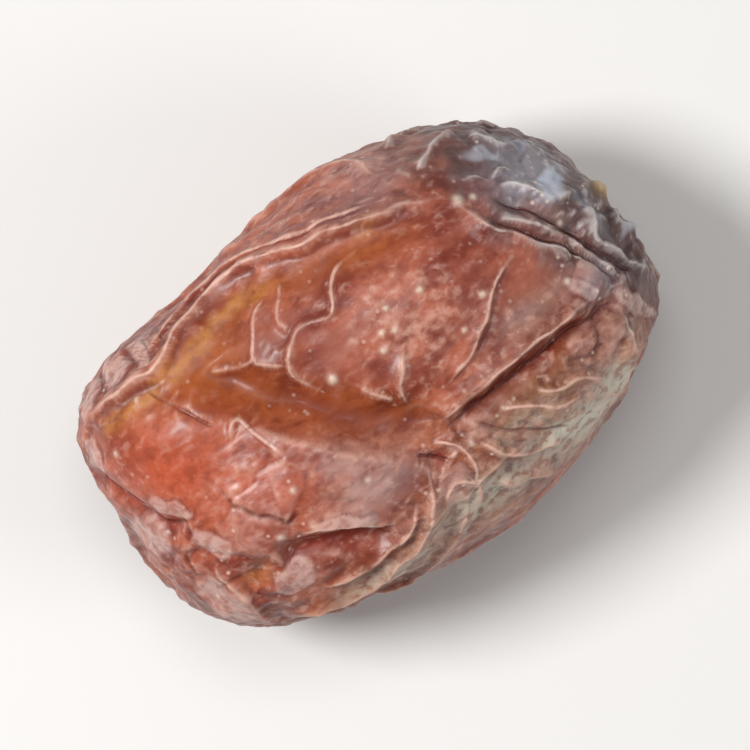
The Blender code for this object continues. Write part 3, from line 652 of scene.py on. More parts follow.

# %% [markdown]
# ## Sugar beads and blisters
# Sugar has dried on the skin in a few pale beads, and on the middle panel air under the skin has raised
# small blisters. Both are small round bumps, so each is a spot with a middle, a radius and a height. The pale
# colour of the first three beads is also a painted glint.

# %% Beads and blisters
SUGAR_BEADS_AND_GLINTS = [  # x, y, radius, height
    # the first three are sugar beads whose pale colour is also a painted glint
    (10.1, 5.3, 0.34, 0.26), (11, 5, 0.22, 0.14), (-1.9, 0.9, 0.26, 0.18), (5.2, 2.3, 0.19, 0.1),
    (3, 2.5, 0.16, 0.08), (1.5, 0.6, 0.18, 0.09), (8, 0, 0.18, 0.09), (6, -1.1, 0.16, 0.08),
    (2, 1.5, 0.16, 0.08), (2.7, 1.2, 0.16, 0.08), (-5, -7.3, 0.22, 0.12), (-12, 6.6, 0.18, 0.09),
    (17.6, -1.8, 0.3, 0.2), (-14.6, 4.6, 0.18, 0.09), (12.6, -2.2, 0.18, 0.09), (14.4, 0.8, 0.18, 0.09),
    (-9.6, -4.8, 0.18, 0.09), (-7.4, -3, 0.17, 0.08), (-3.6, -5, 0.17, 0.08), (2.6, -6.8, 0.18, 0.09),
]
BLISTER_FIELDS = [  # x, y, radius, how many
    (3.6, 1, 3.2, 46), (-8.5, -3.4, 3.4, 34), (6.5, -1.2, 2.4, 14), (-11, 6.6, 2, 10),
    (2, -7.5, 3, 20),
]
BLISTER_SEED = 5

draw = random.Random(BLISTER_SEED)
BLISTERS = []
for x, y, radius, count in BLISTER_FIELDS:
    for _ in range(count):
        turn, reach = draw.uniform(0.0, math.tau), radius * math.sqrt(draw.random())
        size = draw.uniform(0.15, 0.42)
        BLISTERS.append((x + reach * math.cos(turn), y + reach * math.sin(turn), size, 0.22 * size))


def round_spots(spots):
    """The height of the spots, and a mask that is 1 at their middles."""
    raised = np.zeros(len(body))
    marked = np.zeros(len(body))
    for x, y, radius, height in spots:
        shape = np.exp(-(np.linalg.norm(body - point_above(x, y), axis=1) / radius) ** 2)
        raised = np.maximum(raised, height * shape)
        marked = np.maximum(marked, shape)
    return raised, marked


bead_relief, sugar_and_glints = round_spots(SUGAR_BEADS_AND_GLINTS)
blister_relief, blistered = round_spots(BLISTERS)
print("beads:", len(SUGAR_BEADS_AND_GLINTS), "and blisters:", len(BLISTERS))

# %% [markdown]
# ## The two ends
# A date comes away from its cap at the stem end and leaves a round, dished scar with puckered skin round
# it. At the other end the flower has left a small raised point.

# %% Stem scar and blossom point
SCAR_BEARING = 184.0
SCAR_ELEVATION = -16.0
SCAR_RADIUS = 2.3
SCAR_DEPTH = 0.55
SCAR_WALL = (0.75, 1.05)  # the dish's wall lies between these shares of the radius
SCAR_RIM = 0.45
SCAR_RIM_AT = 1.25  # in radii, as PUCKERS_AT
SCAR_RIM_WIDTH = 0.75
SCAR_RING_SPACING = 0.85
SCAR_RING_HEIGHT = 0.16
PUCKERS = 11
PUCKERS_AT = 2.1
PUCKER_UNEVENNESS = 1.2
PUCKER_HEIGHT = 0.16
PUCKER_REACH = 2.0
POINT_PLAN = (17.3, 1.1)
POINT_ELEVATION = 10.0
POINT_RADIUS = 0.75
POINT_HEIGHT = 0.55

scar_middle = body_point(math.radians(SCAR_BEARING), math.radians(SCAR_ELEVATION))
scar_offset = body - scar_middle
scar_gap = np.linalg.norm(scar_offset, axis=1)
point_bearing = math.atan2(POINT_PLAN[1], POINT_PLAN[0])
point_gap = np.linalg.norm(body - body_point(point_bearing, math.radians(POINT_ELEVATION)), axis=1)


def scar_relief():
    """The scar's dish and rim, and the puckers that run away from it."""
    inner, outer = SCAR_WALL
    dish = -SCAR_DEPTH * (1.0 - smoothstep(inner * SCAR_RADIUS, outer * SCAR_RADIUS, scar_gap))
    rim = SCAR_RIM * np.exp(-(((scar_gap - SCAR_RIM_AT * SCAR_RADIUS) / SCAR_RIM_WIDTH) ** 2))
    turn = np.arctan2(scar_offset[:, 2], scar_offset[:, 1])
    beyond = scar_gap - PUCKERS_AT * SCAR_RADIUS
    wave = np.cos(PUCKERS * turn + PUCKER_UNEVENNESS * np.sin(2.0 * turn))
    puckers = PUCKER_HEIGHT * wave * np.exp(-((beyond / PUCKER_REACH) ** 2))
    return (dish + rim + puckers) * (body[:, 0] < 0.0)


# %% Fibres and rings in the scar
FIBRE_SPREAD = 3.2  # more gives more fibres round the scar
FIBRE_CHANGE = 0.8  # how fast they change outwards
RING_UNEVENNESS = 1.2  # how much the fibres break up the rings

in_scar = 1.0 - smoothstep(0.80 * SCAR_RADIUS, 1.25 * SCAR_RADIUS, scar_gap)
fibres = np.array([
    noise.noise(Vector((FIBRE_SPREAD * math.cos(turn), FIBRE_SPREAD * math.sin(turn), FIBRE_CHANGE * gap)))
    for turn, gap in zip(np.arctan2(scar_offset[:, 2], scar_offset[:, 1]), scar_gap)])
rings = np.cos(math.tau * scar_gap / SCAR_RING_SPACING) + RING_UNEVENNESS * fibres
scar_rings = in_scar * smoothstep(-0.3, 1.0, rings)
point_relief = POINT_HEIGHT * np.exp(-((point_gap / POINT_RADIUS) ** 2))
ends = scar_relief() + SCAR_RING_HEIGHT * scar_rings + point_relief
print("scar:", 2 * SCAR_RADIUS, "mm across, with", PUCKERS, "puckers")

# %% [markdown]
# ## Raise the skin
# The reliefs add up and move each corner along the smooth body's own normal. Near the underside's flat spot
# they fade, and whatever would sink below the ground is pressed flat with a soft edge.

# %% Move the corners
def settled(height):
    """Heights above the ground, with all that would lie under it pressed flat and an eased edge."""
    eased = (height + FLAT_SPOT_EASE) ** 2 / (4.0 * FLAT_SPOT_EASE)
    return np.where(height > FLAT_SPOT_EASE, height, np.where(height < -FLAT_SPOT_EASE, 0.0, eased))


from_spot = np.hypot(body[:, 0] - FLAT_SPOT_CENTRE[0], body[:, 1] - FLAT_SPOT_CENTRE[1])
rough = np.where(body[:, 2] < 0.0, smoothstep(*SMOOTH_ROUND_SPOT, from_spot), 1.0)
crinkles = (facets + crumples) * (1.0 - in_scar)
relief = (folds + panels + crinkles + piece_relief + ends + bead_relief + blister_relief) * rough
skin = body + relief[:, None] * outwards
skin[:, 2] = settled(skin[:, 2] + BOTTOM - FLAT_SPOT_DEPTH)
skin[:, :2] -= BOX_MIDDLE
move_corners(skin_mesh, skin * MM)
print("skin:", np.round(skin.max(axis=0) - skin.min(axis=0), 1), "mm over all")

# %% [markdown]
# ## What the eye reads in the colour
# A date's colour follows its folds: skin is pale along a crest, partly as dry skin and partly as a painted
# highlight, dark in a furrow as painted shade, amber where light comes through it from both sides as a
# painted glow, and greyed by dust and sugar where it is oldest. Each of these is worked out once for every
# corner and kept on the mesh as an attribute, which the material reads. Veins and creases are finer than
# the mesh, so for them the distance to the line is kept instead, and the material draws the line from it;
# the dark line in a crease is painted shade.

# %% Crests and furrows from the finished relief
FINE_ROUNDS, BROAD_ROUNDS = 8, 90  # rounds of averaging that make the surroundings of a corner
FINE_CREST = (0.010, 0.050)  # millimetres above them where a crest begins to show, and where it shows fully
BROAD_CREST = (0.10, 0.40)
FINE_FURROW = (0.010, 0.060)  # the same below them
BROAD_FURROW = (0.08, 0.45)


def spread_out(values, links, rounds):
    """The values averaged with their neighbours', over and over."""
    count = np.bincount(links.ravel(), minlength=len(values))
    for _ in range(rounds):
        total = np.bincount(links[:, 0], values[links[:, 1]], len(values))
        total += np.bincount(links[:, 1], values[links[:, 0]], len(values))
        values = 0.5 * values + 0.5 * total / count
    return values


skin_mesh.verts.index_update()
links = np.array([[edge.verts[0].index, edge.verts[1].index] for edge in skin_mesh.edges])
fine_stand = relief - spread_out(relief, links, FINE_ROUNDS)
broad_stand = relief - spread_out(relief, links, BROAD_ROUNDS)
print("stands out from its surroundings by: finely", span(fine_stand), "and broadly", span(broad_stand))
# Pale crests are partly a painted highlight, and dark furrows are painted shade.
crest = most(smoothstep(*FINE_CREST, fine_stand), 0.7 * smoothstep(*BROAD_CREST, broad_stand))
furrow = most(smoothstep(*FINE_FURROW, -fine_stand), smoothstep(*BROAD_FURROW, -broad_stand))
print(f"crests cover {crest.mean():.2f} of the skin and furrows {furrow.mean():.2f}")

# %% Masks along folds and over places
FAR_AWAY = 9.0
LINE_SHOWS = (0.75, 0.45)  # a line begins to show at the first of these distances, and is clear at the second
FULL_HEIGHT = 0.30  # a fold at least this high or deep shows fully


def along_fold(name, width):
    """1 on a fold's line, fading to its sides and its ends."""
    gap, taper, _ = distances[name]
    return taper * np.exp(-((gap / width) ** 2))


def over_places(spots):
    """The strongest of several spots, each given as its strength, x, y, half-length, half-width and turn."""
    return most(*[strength * over_plan(*place) for strength, *place in spots])


def nearest_line(names):
    """Distance from the nearest of the named folds, below 0 on its right, and how clearly that fold shows.

    Halfway between two lines the distance jumps from one to the other, so nothing shows there."""
    gap_to = np.full(len(body), FAR_AWAY)
    next_gap = np.full(len(body), FAR_AWAY)
    clear = np.zeros(len(body))
    for name in names:
        gap, taper, side = distances[name]
        nearer = gap < np.abs(gap_to)
        next_gap = np.where(nearer, np.abs(gap_to), np.minimum(next_gap, gap))
        strength = min(1.0, abs(FOLDS_ABOVE[name][0]) / FULL_HEIGHT)
        gap_to[nearer] = (gap * np.where(side < 0.0, -1.0, 1.0))[nearer]
        clear[nearer] = (taper * strength * smoothstep(*LINE_SHOWS, gap))[nearer]
    gap = np.abs(gap_to)
    halfway = smoothstep(0.30, 0.05, next_gap - gap) * smoothstep(0.08, 0.20, gap)
    return gap_to, clear * (1.0 - halfway)


# %% Veins on the crests, and lines in the creases
WIDEST_CREASE = 0.5  # wider furrows have no line
PLAIN_RIDGES = ("near bank", "far flank left")  # the skin on these has no vein
VEIN_PATCHES = 1.9  # size of the patches where veins come and go

ridges = [name for name, fold in FOLDS_ABOVE.items() if fold[0] > 0.0 and name not in PLAIN_RIDGES]
# The dark lines drawn in these creases are painted shade.
creases = [name for name, fold in FOLDS_ABOVE.items() if fold[0] < 0.0 and fold[1] <= WIDEST_CREASE]
vein_gap, vein_shows = nearest_line(ridges)
crease_gap, crease_shows = nearest_line(creases)
come_and_go = np.array([noise.noise(Vector(place) / VEIN_PATCHES) for place in body])
vein_shows *= smoothstep(-0.70, 0.05, come_and_go) * (0.40 + 0.60 * smoothstep(3.0, 7.0, body[:, 2]))
print("lines: veins on", len(ridges), "ridges and", len(creases), "dark creases")

# %% Patches of colour
PLACES = {  # strength, x, y, half-length, half-width and, if it isn't 0, turn in degrees
    # painted glow: orange where light shines through the lobe at the stem end
    "glow": [(1, -12.2, 2.2, 3.8, 3.6), (0.7, -9.5, -1.5, 4, 3), (0.4, -11.5, -3.5, 3, 2)],
    "ochre": [(1, 4.7, 7.1, 0.7, 0.5), (0.8, -12.1, -5.9, 0.9, 0.6)],
    "grey": [(0.8, 14.5, 5.5, 3.5, 4), (0.9, 16.5, -2, 1.8, 4), (0.65, 9.8, 8.4, 2.6, 1.8)],
    "bloom": [
        (0.45, -4, -3.6, 3, 1.2, -45), (0.55, -3.6, -5.6, 2.4, 1.5), (0.3, 6, 9, 2.5, 1.6),
        (0.35, 9.6, -2.4, 2.2, 0.9)],
    # painted shade: darker red patches beside and between the veins of the panels
    "painted_panel_shade": [
        (0.9, -1.2, 2.2, 2, 1.5), (0.8, -3.2, 5, 2.2, 1.6), (0.6, 0.8, 6.4, 2.4, 1),
        (0.6, 10, -0.8, 2.2, 1.2), (0.4, 8.6, 2, 1.2, 2)],
    # painted sheen: broad milky highlights on the middle panel and to its left
    "painted_sheen_spots": [(0.75, 3.2, 0.7, 1.3, 1.1), (0.5, -3.5, -4.5, 2.5, 1.5), (0.15, -11.5, -0.5, 1.5, 1.2)],
    "frost": [(0.42, 14.4, 4.8, 2.6, 2), (0.3, 14.1, -3.2, 1, 1.4, -55), (0.5, 16.1, 0.4, 0.4, 1.4)],
    "film": [
        (0.6, 3.5, 1, 4.5, 3), (0.8, 9, -2.5, 4, 1.6), (1, 7, 9.6, 4.5, 2.2),
        (0.4, -2, 10.3, 10, 2.2)],
    "crust": [
        (1, 8.5, -9.4, 4.5, 1.2), (1, 11.8, -8.6, 2.2, 1), (0.5, -6, -10.3, 5, 0.7, -3),
        (0.75, 1.5, -9.8, 4, 1.3), (0.35, 6, -7.5, 2.4, 1)],
    "brown": [
        (1, 7.5, -7.2, 6.5, 2.6), (1, 13.5, -6, 2.5, 2.5), (0.8, -6, -10.3, 6, 1.4, -3),
        (0.8, 1.5, -9.5, 4, 2.6), (0.6, 10, -2.6, 3, 1.3)],
}
OCHRE_BAND = [(-14.3, 6.2), (-11.5, 6.5), (-8.9, 6.9), (-6.5, 7.5), (-4.1, 7.9), (-0.6, 7.6)]
OCHRE_WIDTH = 0.50
FROST_PATCHES = [(15.2, 3.1, 1.1, 0.85, 30.0)]
FROST_STREAKS = [(13.2, 6.8, 1.2, 0.32, -35.0), (15.0, 6.3, 0.8, 0.25, -55.0), (17.3, -1.7, 0.5, 0.3, 20.0)]

over = {name: over_places(spots) for name, spots in PLACES.items()}
# Painted glow: amber where light comes through the skin along the troughs.
amber = most(
    along_fold("amber furrow", 1.7), 0.85 * along_fold("far trough", 1.0),
    over_plan(-7.5, 5.8, 3.4, 2.2, 20.0))
# Painted shade: the floor of the amber trough is darker.
valley = along_fold("amber furrow", 1.0) * smoothstep(-7.0, -4.0, body[:, 0])
ochre_plan = smooth_route(OCHRE_BAND)
ochre_gap, ochre_along, _ = distance_to_route(wavered, point_above(ochre_plan[:, 0], ochre_plan[:, 1]))
ochre_line = np.exp(-((ochre_gap / OCHRE_WIDTH) ** 2)) * smoothstep(1.0, 0.8, ochre_along)
towards_tip = body[:, 0] + 0.35 * body[:, 1] + 2.2 * come_and_go
greyed_tip = smoothstep(10.5, 15.5, towards_tip) * (0.30 + 0.70 * smoothstep(-4.0, 4.0, body[:, 2]))
grey = most(greyed_tip, over["grey"])
frost = most(on_pieces(FROST_PATCHES, 0.35), 0.6 * on_pieces(FROST_STREAKS, 0.5), over["frost"])
film = most(
    crackled * (1.0 - 0.5 * over_plan(-10.0, -3.0, 5.0, 4.0)), over["film"],
    0.30 * smoothstep(3.0, -2.0, body[:, 2]))
# Painted shade: the skin is darker towards the underside.
low = smoothstep(5.0, -4.0, body[:, 2])
# Painted shade: darker red in the deep hollow, the pit, the near furrow, the stem fold and the tip slit.
hollow = most(
    along_fold("red hollow", 1.0), along_fold("pit", 0.5), 0.8 * along_fold("near furrow", 0.5),
    0.7 * along_fold("stem fold", 0.5), 0.8 * along_fold("tip slit", 0.3))
# painted sheen: a pale pink haze over the upper side, weaker in the amber and glowing skin, low down and on
# the grey tip
painted_sheen = (1.0 - amber) * (1.0 - 0.5 * over["glow"]) * (1.0 - 0.5 * low) * (1.0 - 0.5 * grey)
print("patches over places:", ", ".join(PLACES))

# %% Every mask that the material reads
MASKS = {
    "whole": np.ones(len(body)), "painted_sheen": painted_sheen * (1.0 - 0.7 * over["painted_panel_shade"]), "painted_panel_shade": over["painted_panel_shade"],
    "painted_sheen_spots": over["painted_sheen_spots"], "low": low, "crest": crest * (1.0 - 0.9 * grey), "furrow": furrow,
    "vein_gap": vein_gap, "vein_shows": vein_shows * (1.0 - grey),
    "crease_gap": crease_gap, "crease_shows": crease_shows, "piece_rim": piece_rim,
    "cracks": crackled * facet_edge**2,
    "flakes": smoothstep(0.60, 0.80, facet_number) * crackled * (1.0 - grey),
    "film": film, "amber": amber, "valley": valley, "brown": over["brown"],
    "slack": np.clip(slack, 0.0, 1.0),
    # specks of sugar and of painted sparkle, mostly on crackled skin, blisters and the middle panel
    "sparse": most(0.35 * np.ones(len(body)), crackled, blistered, 0.8 * over_plan(3.5, 0.8, 4.0, 3.0)),
    "blistered": blistered, "sugar_and_glints": sugar_and_glints, "glow": over["glow"], "ochre": most(ochre_line, over["ochre"]),
    "grey": grey, "bloom": over["bloom"], "frost": frost, "tip_crest": crest * grey,
    "tip_vein": vein_shows * grey, "pale_piece_and_glint": pale_piece_and_glint, "crust": over["crust"], "hollow": hollow,
    "scar": in_scar, "scar_rings": scar_rings,
    "point": np.exp(-((point_gap / (0.9 * POINT_RADIUS)) ** 2)),
}

# %% Make the skin an object
skin_data = bpy.data.meshes.new("date_skin")
skin_mesh.to_mesh(skin_data)
skin_mesh.free()
skin_data.shade_smooth()
for mask_name, values in MASKS.items():
    attribute = skin_data.attributes.new(mask_name, "FLOAT", "POINT")
    attribute.data.foreach_set("value", values.astype(np.float32))
date_skin = bpy.data.objects.new("date_skin", skin_data)
bpy.context.scene.collection.objects.link(date_skin)
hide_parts("date_fruit")
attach(date_skin, "root")
print("attributes:", ", ".join(MASKS))

# %% [markdown]
# ## Waxy date skin
# The skin is a thin, tough film, coated with the fruit's own wax, over sugary flesh that light sinks into.
# Where the film clings, the eye sees the red-brown flesh through it, and an amber glow where light comes
# through, which is painted. Where it has lifted or dried, it turns to a milky pink. So the colour is built up
# in layers: first the flesh with its painted glow, then painted shade in its furrows, hollows and underside,
# and then the milky film, dust and sugar, a painted sheen with broad milky spots, painted shade beside the
# veins and painted highlights on the crests. Each layer has a mask from the mesh and is broken up by a noise
# of a size seen on the fruit. Veins and creases are drawn from the kept distances and worn thin in places,
# and the dark line in a crease is painted shade. Each speck stands both for sugar and for a painted sparkle,
# and is a small dot in the middle of a Voronoi cell, in the share of the cells that a draw picks.

# %% Colours and the node helper
WINE = "#7E3426"
ROSE = "#B05F45"


def linear(colour):
    """An sRGB hex colour as the linear values that Blender's shaders take."""
    channels = [int(colour[i:i + 2], 16) / 255.0 for i in (1, 3, 5)]
    return (*[c / 12.92 if c <= 0.04045 else ((c + 0.055) / 1.055) ** 2.4 for c in channels], 1.0)


def add_node(tree, kind, links=None, values=None, **settings):
    """A node of a kind, with its settings, the values of its sockets and what it is linked from, which is a
    socket, or a node whose first output is meant."""
    node = tree.nodes.new(kind)
    for name, value in settings.items():
        setattr(node, name, value)
    for socket, value in (values or {}).items():
        node.inputs[socket].default_value = value
    for socket, source in (links or {}).items():
        from_socket = source.outputs[0] if isinstance(source, bpy.types.Node) else source
        tree.links.new(from_socket, node.inputs[socket])
    return node


# %% Patterns and layers of the skin
PATTERNS = {  # size in millimetres, lengthwise stretch, detail, kind of noise
    "mottle": (2.6, 1.5, 3.0, "FBM"),
    "patches": (1.3, 1.4, 2.0, "FBM"),
    "grain": (0.60, 1.3, 2.0, "FBM"),
    "streaks": (0.60, 4.5, 3.0, "FBM"),
    "dust": (0.30, 1.0, 1.0, "FBM"),
    "wrinkles": (1.1, 1.5, 4.0, "RIDGED_MULTIFRACTAL"),
}
LAYERS = [  # colour, mask, pattern, its values where the layer is least and most, least and most strength
    # painted glow of light coming through the skin, warm orange and then amber
    ("#BC5230", "glow", "mottle", 0.20, 0.50, 0.80, 0.95),
    ("#A4500F", "amber", "mottle", 0.20, 0.60, 0.82, 0.96),
    # painted shade on the amber trough's floor
    ("#7C2D0A", "valley", "mottle", 0.30, 0.70, 0.92, 0.75),
    ("#B9762A", "ochre", "patches", 0.30, 0.60, 0.35, 0.80),
    ("#80532F", "brown", "mottle", 0.30, 0.60, 0.65, 0.90),
    # painted shade, darker towards the underside
    ("#521A10", "low", "mottle", 0.62, 0.34, 0.36, 0.74),
    ("#651C10", "slack", "patches", 0.52, 0.36, 0.0, 0.50),
    # painted shade in the furrows
    ("#651E12", "furrow", "patches", 0.30, 0.60, 0.50, 0.70),
    # painted shade in the hollows and slits
    ("#8C2E18", "hollow", "patches", 0.30, 0.60, 0.85, 0.70),
    ("#B98272", "film", "streaks", 0.48, 0.66, 0.0, 0.42),
    ("#C2958A", "flakes", "patches", 0.35, 0.62, 0.10, 0.55),
    ("#4F170E", "cracks", "patches", 0.65, 0.40, 0.35, 0.85),
    ("#6E2416", "whole", "grain", 0.50, 0.33, 0.0, 0.30),
    # the painted sheen
    ("#D9AA9A", "painted_sheen", "grain", 0.50, 0.76, 0.0, 0.46),
    # painted shade beside and between the panels' veins
    ("#8E4430", "painted_panel_shade", "patches", 0.30, 0.60, 0.45, 0.80),
    # painted sheen in broad milky spots
    ("#D5A491", "painted_sheen_spots", "grain", 0.34, 0.60, 0.15, 0.75),
    ("#484040", "grey", "mottle", 0.25, 0.55, 0.45, 0.84),
    ("#CDC7B6", "crust", "grain", 0.36, 0.54, 0.38, 0.96),
    ("#B9A5A2", "bloom", "patches", 0.25, 0.50, 0.20, 0.85),
    # pale pieces, and a painted highlight on the near hollow's lip
    ("#CCA9A0", "pale_piece_and_glint", "grain", 0.34, 0.60, 0.30, 0.70),
    # pale crests, here and on the grey tip: dry skin and a painted highlight
    ("#CDA08C", "crest", "patches", 0.35, 0.58, 0.10, 0.50),
    ("#B5ACA9", "tip_crest", "patches", 0.35, 0.60, 0.15, 0.80),
    ("#BCC0CC", "frost", "patches", 0.28, 0.52, 0.30, 0.92),
    ("#6A2216", "piece_rim", "patches", 0.60, 0.35, 0.10, 0.60),
    # painted shade: a dark line down each crease
    ("#5A1C12", "crease_shows", "crease", 0.10, 0.95, 0.0, 0.80),
    ("#DBB09F", "vein_shows", "vein", 0.20, 0.95, 0.0, 0.84),
    ("#C6C0BE", "tip_vein", "vein", 0.20, 0.95, 0.0, 0.85),
    # specks of sugar that also stand for a painted sparkle
    ("#E6CDBD", "sparse", "specks", 0.24, 0.08, 0.0, 0.70),
    ("#CF9A84", "blistered", "grain", 0.35, 0.60, 0.10, 0.50),
    # sugar, and painted glints on the first three beads
    ("#DCC8B4", "sugar_and_glints", "grain", 0.25, 0.50, 0.45, 0.90),
    ("#573222", "scar", "patches", 0.30, 0.60, 0.75, 0.95),
    ("#8F6C50", "scar_rings", "grain", 0.35, 0.65, 0.10, 0.60),
    ("#B99C62", "point", "grain", 0.30, 0.60, 0.80, 1.0),
]
LINE_WIDTHS = {"vein": 0.22, "crease": 0.18}  # millimetres to each side
SPECK_SPACING = 0.75  # millimetres between the places where a speck may lie, of sugar and of painted sparkle
SPECKS_SHARE = 0.28  # share of those places that have one
CLINGING = (0.36, 0.62)  # values of the mottle where the film clings least and most
WORN = (0.36, 0.56, 0.55)  # values of the grain where a line is most and least worn, and what is left of it
ROUGHNESS = (0.30, 0.50)
ROUGHER = [  # mask, added roughness
    ("amber", 0.16), ("valley", 0.12), ("crust", 0.22), ("film", 0.06), ("painted_panel_shade", 0.14)]
BUMPS = [  # pattern, mask, depth in millimetres
    ("wrinkles", "slack", 0.060),
    ("grain", "slack", 0.050),
    ("dust", "film", 0.030),
    ("grain", "crust", 0.120),
    ("vein", "vein_shows", 0.055),
    ("vein", "tip_vein", 0.070),
    ("crease", "crease_shows", -0.100),
]
WAXY_SURFACE = {  # what is the same all over the skin, set on the shader's own sockets
    "Metallic": 0.0, "IOR": 1.46, "Coat Weight": 0.10, "Coat Roughness": 0.20,
    "Subsurface Weight": 0.18, "Subsurface Radius": (1.0, 0.35, 0.18), "Subsurface Scale": 1.2 * MM,
}


# %% The patterns' nodes
def noise_patterns(tree, place):
    """A noise for each of PATTERNS."""
    found = {}
    for name, (size, stretch, detail, kind) in PATTERNS.items():
        drawn_out = add_node(
            tree, "ShaderNodeMapping", {"Vector": place}, {"Scale": (1.0 / stretch, 1.0, 1.0)})
        texture = add_node(
            tree, "ShaderNodeTexNoise", {"Vector": drawn_out},
            {"Scale": 1.0 / (size * MM), "Detail": detail, "Roughness": 0.6, "Distortion": 0.3},
            noise_type=kind)
        found[name] = texture.outputs["Fac"]
    return found


def worn_line(tree, gap, width, grain):
    """A line as wide as that to each side, worn where the grain is low."""
    most_worn, least_worn, left = WORN
    apart = add_node(tree, "ShaderNodeMath", {0: gap}, operation="ABSOLUTE")
    line = add_node(
        tree, "ShaderNodeMapRange", {"Value": apart}, {"From Min": width, "From Max": 0.0},
        interpolation_type="SMOOTHSTEP")
    worn = add_node(
        tree, "ShaderNodeMapRange", {"Value": grain},
        {"From Min": most_worn, "From Max": least_worn, "To Min": left, "To Max": 1.0})
    uneven = add_node(tree, "ShaderNodeMath", {0: line, 1: worn}, operation="MULTIPLY")
    return uneven.outputs[0]


def speck_distance(tree, place):
    """Distance from the middle of a cell, and more than 1 where the cell has no speck."""
    dots = add_node(tree, "ShaderNodeTexVoronoi", {"Vector": place}, {"Scale": 1.0 / (SPECK_SPACING * MM)})
    lot = add_node(tree, "ShaderNodeSeparateColor", {0: dots.outputs["Color"]})
    absent = add_node(
        tree, "ShaderNodeMath", {0: lot.outputs[0]}, {1: 1.0 - SPECKS_SHARE}, operation="LESS_THAN")
    specks = add_node(
        tree, "ShaderNodeMath", {0: dots.outputs["Distance"], 1: absent}, operation="ADD")
    return specks.outputs[0]


# %% The skin's colour, roughness and bumps
def layered_colour(tree, pattern, mask):
    """The two reds of the flesh, with every layer over them in turn."""
    clinging = add_node(
        tree, "ShaderNodeMapRange", {"Value": pattern["mottle"]},
        {"From Min": CLINGING[0], "From Max": CLINGING[1]}, interpolation_type="SMOOTHSTEP")
    flesh = add_node(
        tree, "ShaderNodeMix", {"Factor": clinging}, {6: linear(WINE), 7: linear(ROSE)},
        data_type="RGBA")
    colour = flesh.outputs[2]
    for tint, mask_name, pattern_name, at_least, at_most, least, greatest in LAYERS:
        shown = add_node(
            tree, "ShaderNodeMapRange", {"Value": pattern[pattern_name]},
            {"From Min": at_least, "From Max": at_most, "To Min": least, "To Max": greatest},
            interpolation_type="SMOOTHSTEP")
        amount = add_node(
            tree, "ShaderNodeMath", {0: shown, 1: mask[mask_name]}, operation="MULTIPLY",
            use_clamp=True)
        layer = add_node(
            tree, "ShaderNodeMix", {"Factor": amount, 6: colour}, {7: linear(tint)},
            data_type="RGBA")
        colour = layer.outputs[2]
    return colour


def varied_roughness(tree, pattern, mask):
    """Glossier and duller patches, with dull crust, dust and amber."""
    varied = add_node(
        tree, "ShaderNodeMapRange", {"Value": pattern["patches"]},
        {"From Min": 0.30, "From Max": 0.70, "To Min": ROUGHNESS[0], "To Max": ROUGHNESS[1]})
    roughness = varied.outputs[0]
    for mask_name, change in ROUGHER:
        rougher = add_node(
            tree, "ShaderNodeMath", {0: mask[mask_name], 2: roughness}, {1: change}, operation="MULTIPLY_ADD")
        roughness = rougher.outputs[0]
    return roughness


def fine_bumps(tree, pattern, mask):
    """The bumps, each on top of the one before."""
    normal = None
    for pattern_name, mask_name, depth in BUMPS:
        height = add_node(
            tree, "ShaderNodeMath", {0: pattern[pattern_name], 1: mask[mask_name]}, operation="MULTIPLY")
        bump = add_node(
            tree, "ShaderNodeBump", {"Height": height}, {"Strength": 1.0, "Distance": depth * MM})
        if normal:
            tree.links.new(normal, bump.inputs["Normal"])
        normal = bump.outputs[0]
    return normal


# %% The skin's material
def waxy_date_skin():
    """Wax gives a soft gloss, and the flesh under the film a warm glow."""
    material = bpy.data.materials.new("waxy_date_skin")
    material.use_nodes = True
    tree = material.node_tree
    shader = tree.nodes["Principled BSDF"]
    place = add_node(tree, "ShaderNodeTexCoord").outputs["Object"]
    mask = {}
    for name in MASKS:
        mask[name] = add_node(tree, "ShaderNodeAttribute", attribute_name=name).outputs["Fac"]
    pattern = noise_patterns(tree, place)
    for name, width in LINE_WIDTHS.items():
        pattern[name] = worn_line(tree, mask[name + "_gap"], width, pattern["grain"])
    pattern["specks"] = speck_distance(tree, place)
    tree.links.new(layered_colour(tree, pattern, mask), shader.inputs["Base Color"])
    tree.links.new(varied_roughness(tree, pattern, mask), shader.inputs["Roughness"])
    tree.links.new(fine_bumps(tree, pattern, mask), shader.inputs["Normal"])
    for socket, value in WAXY_SURFACE.items():
        shader.inputs[socket].default_value = value
    return material


date_skin.data.materials.append(waxy_date_skin())
print("material:", date_skin.data.materials[0].name, "of", len(LAYERS), "layers of colour")

# %% [markdown]
# ## Floor, light and camera
# The fruit lies on a pale floor under soft boxes, and the camera looks straight down on it, turned so that
# the fruit's tip points up to the right.

# %% Floor
FLOOR_SIZE = 1.2
FLOOR_WHITE = "#E9E7E4"
FLOOR_ROUGHNESS = 0.85


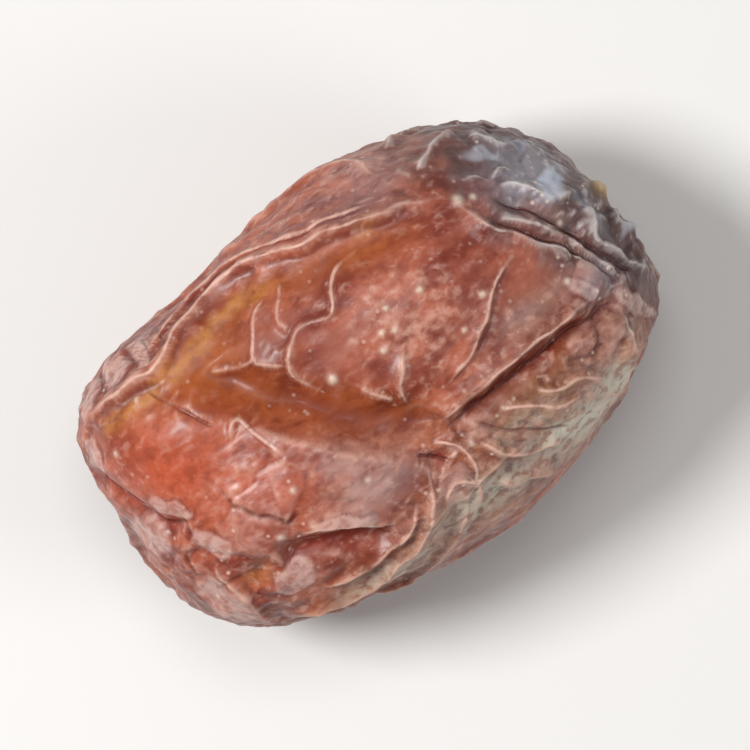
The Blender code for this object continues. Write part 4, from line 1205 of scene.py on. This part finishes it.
def pale_floor():
    """A square of matt white paper, whose dull surface gives the soft shadow nothing to mirror."""
    mesh = bmesh.new()
    bmesh.ops.create_grid(mesh, x_segments=1, y_segments=1, size=FLOOR_SIZE / 2.0)
    data = bpy.data.meshes.new("floor")
    mesh.to_mesh(data)
    mesh.free()
    material = bpy.data.materials.new("matt_white_paper")
    material.use_nodes = True
    shader = material.node_tree.nodes["Principled BSDF"]
    shader.inputs["Base Color"].default_value = linear(FLOOR_WHITE)
    shader.inputs["Roughness"].default_value = FLOOR_ROUGHNESS
    data.materials.append(material)
    floor = bpy.data.objects.new("floor", data)
    bpy.context.scene.collection.objects.link(floor)
    return floor


pale_floor()

# %% Lights
SOFT_BOXES = [  # name, bearing, elevation, distance in metres, size in metres, power in watts
    ("key", 140.0, 55.0, 0.40, 0.13, 1.32),
    ("fill", -50.0, 34.0, 0.42, 0.22, 0.46),
    ("overhead", 60.0, 76.0, 0.55, 0.20, 0.55),
]
ROOM_WHITE = "#F2F3F6"
ROOM_STRENGTH = 0.20


def soft_box(name, bearing, elevation, distance, size, power):
    """A round lamp that shines on the fruit."""
    light = bpy.data.lights.new(name, "AREA")
    light.shape = "DISK"
    light.size = size
    light.energy = power
    lamp = bpy.data.objects.new(name, light)
    b, e = math.radians(bearing), math.radians(elevation)
    from_fruit = Vector((math.cos(b) * math.cos(e), math.sin(b) * math.cos(e), math.sin(e)))
    lamp.location = from_fruit * distance
    lamp.rotation_euler = from_fruit.to_track_quat("Z", "Y").to_euler()
    bpy.context.scene.collection.objects.link(lamp)


for box in SOFT_BOXES:
    soft_box(*box)
room = bpy.data.worlds.new("studio")
room.use_nodes = True
room.node_tree.nodes["Background"].inputs["Color"].default_value = linear(ROOM_WHITE)
room.node_tree.nodes["Background"].inputs["Strength"].default_value = ROOM_STRENGTH
bpy.context.scene.world = room
bpy.context.scene.view_settings.view_transform = "Standard"

# %% Camera
CAMERA_HEIGHT = 0.60  # above the middle of the fruit
FRUIT_MIDDLE = 0.010  # height of that middle above the floor
CAMERA_TURN = -35.0
FRUIT_SHARE = 0.80  # share of the picture's side that the fruit's length takes up

eye = bpy.data.cameras.new("camera")
eye.sensor_width = 36.0
eye.lens = eye.sensor_width * CAMERA_HEIGHT * FRUIT_SHARE / (cad_box[1].x - cad_box[0].x)
camera = bpy.data.objects.new("camera", eye)
camera.location = (0.0, 0.0, CAMERA_HEIGHT + FRUIT_MIDDLE)
camera.rotation_euler = (0.0, 0.0, math.radians(CAMERA_TURN))
bpy.context.scene.collection.objects.link(camera)
bpy.context.scene.camera = camera
print("lens:", round(eye.lens), "mm")
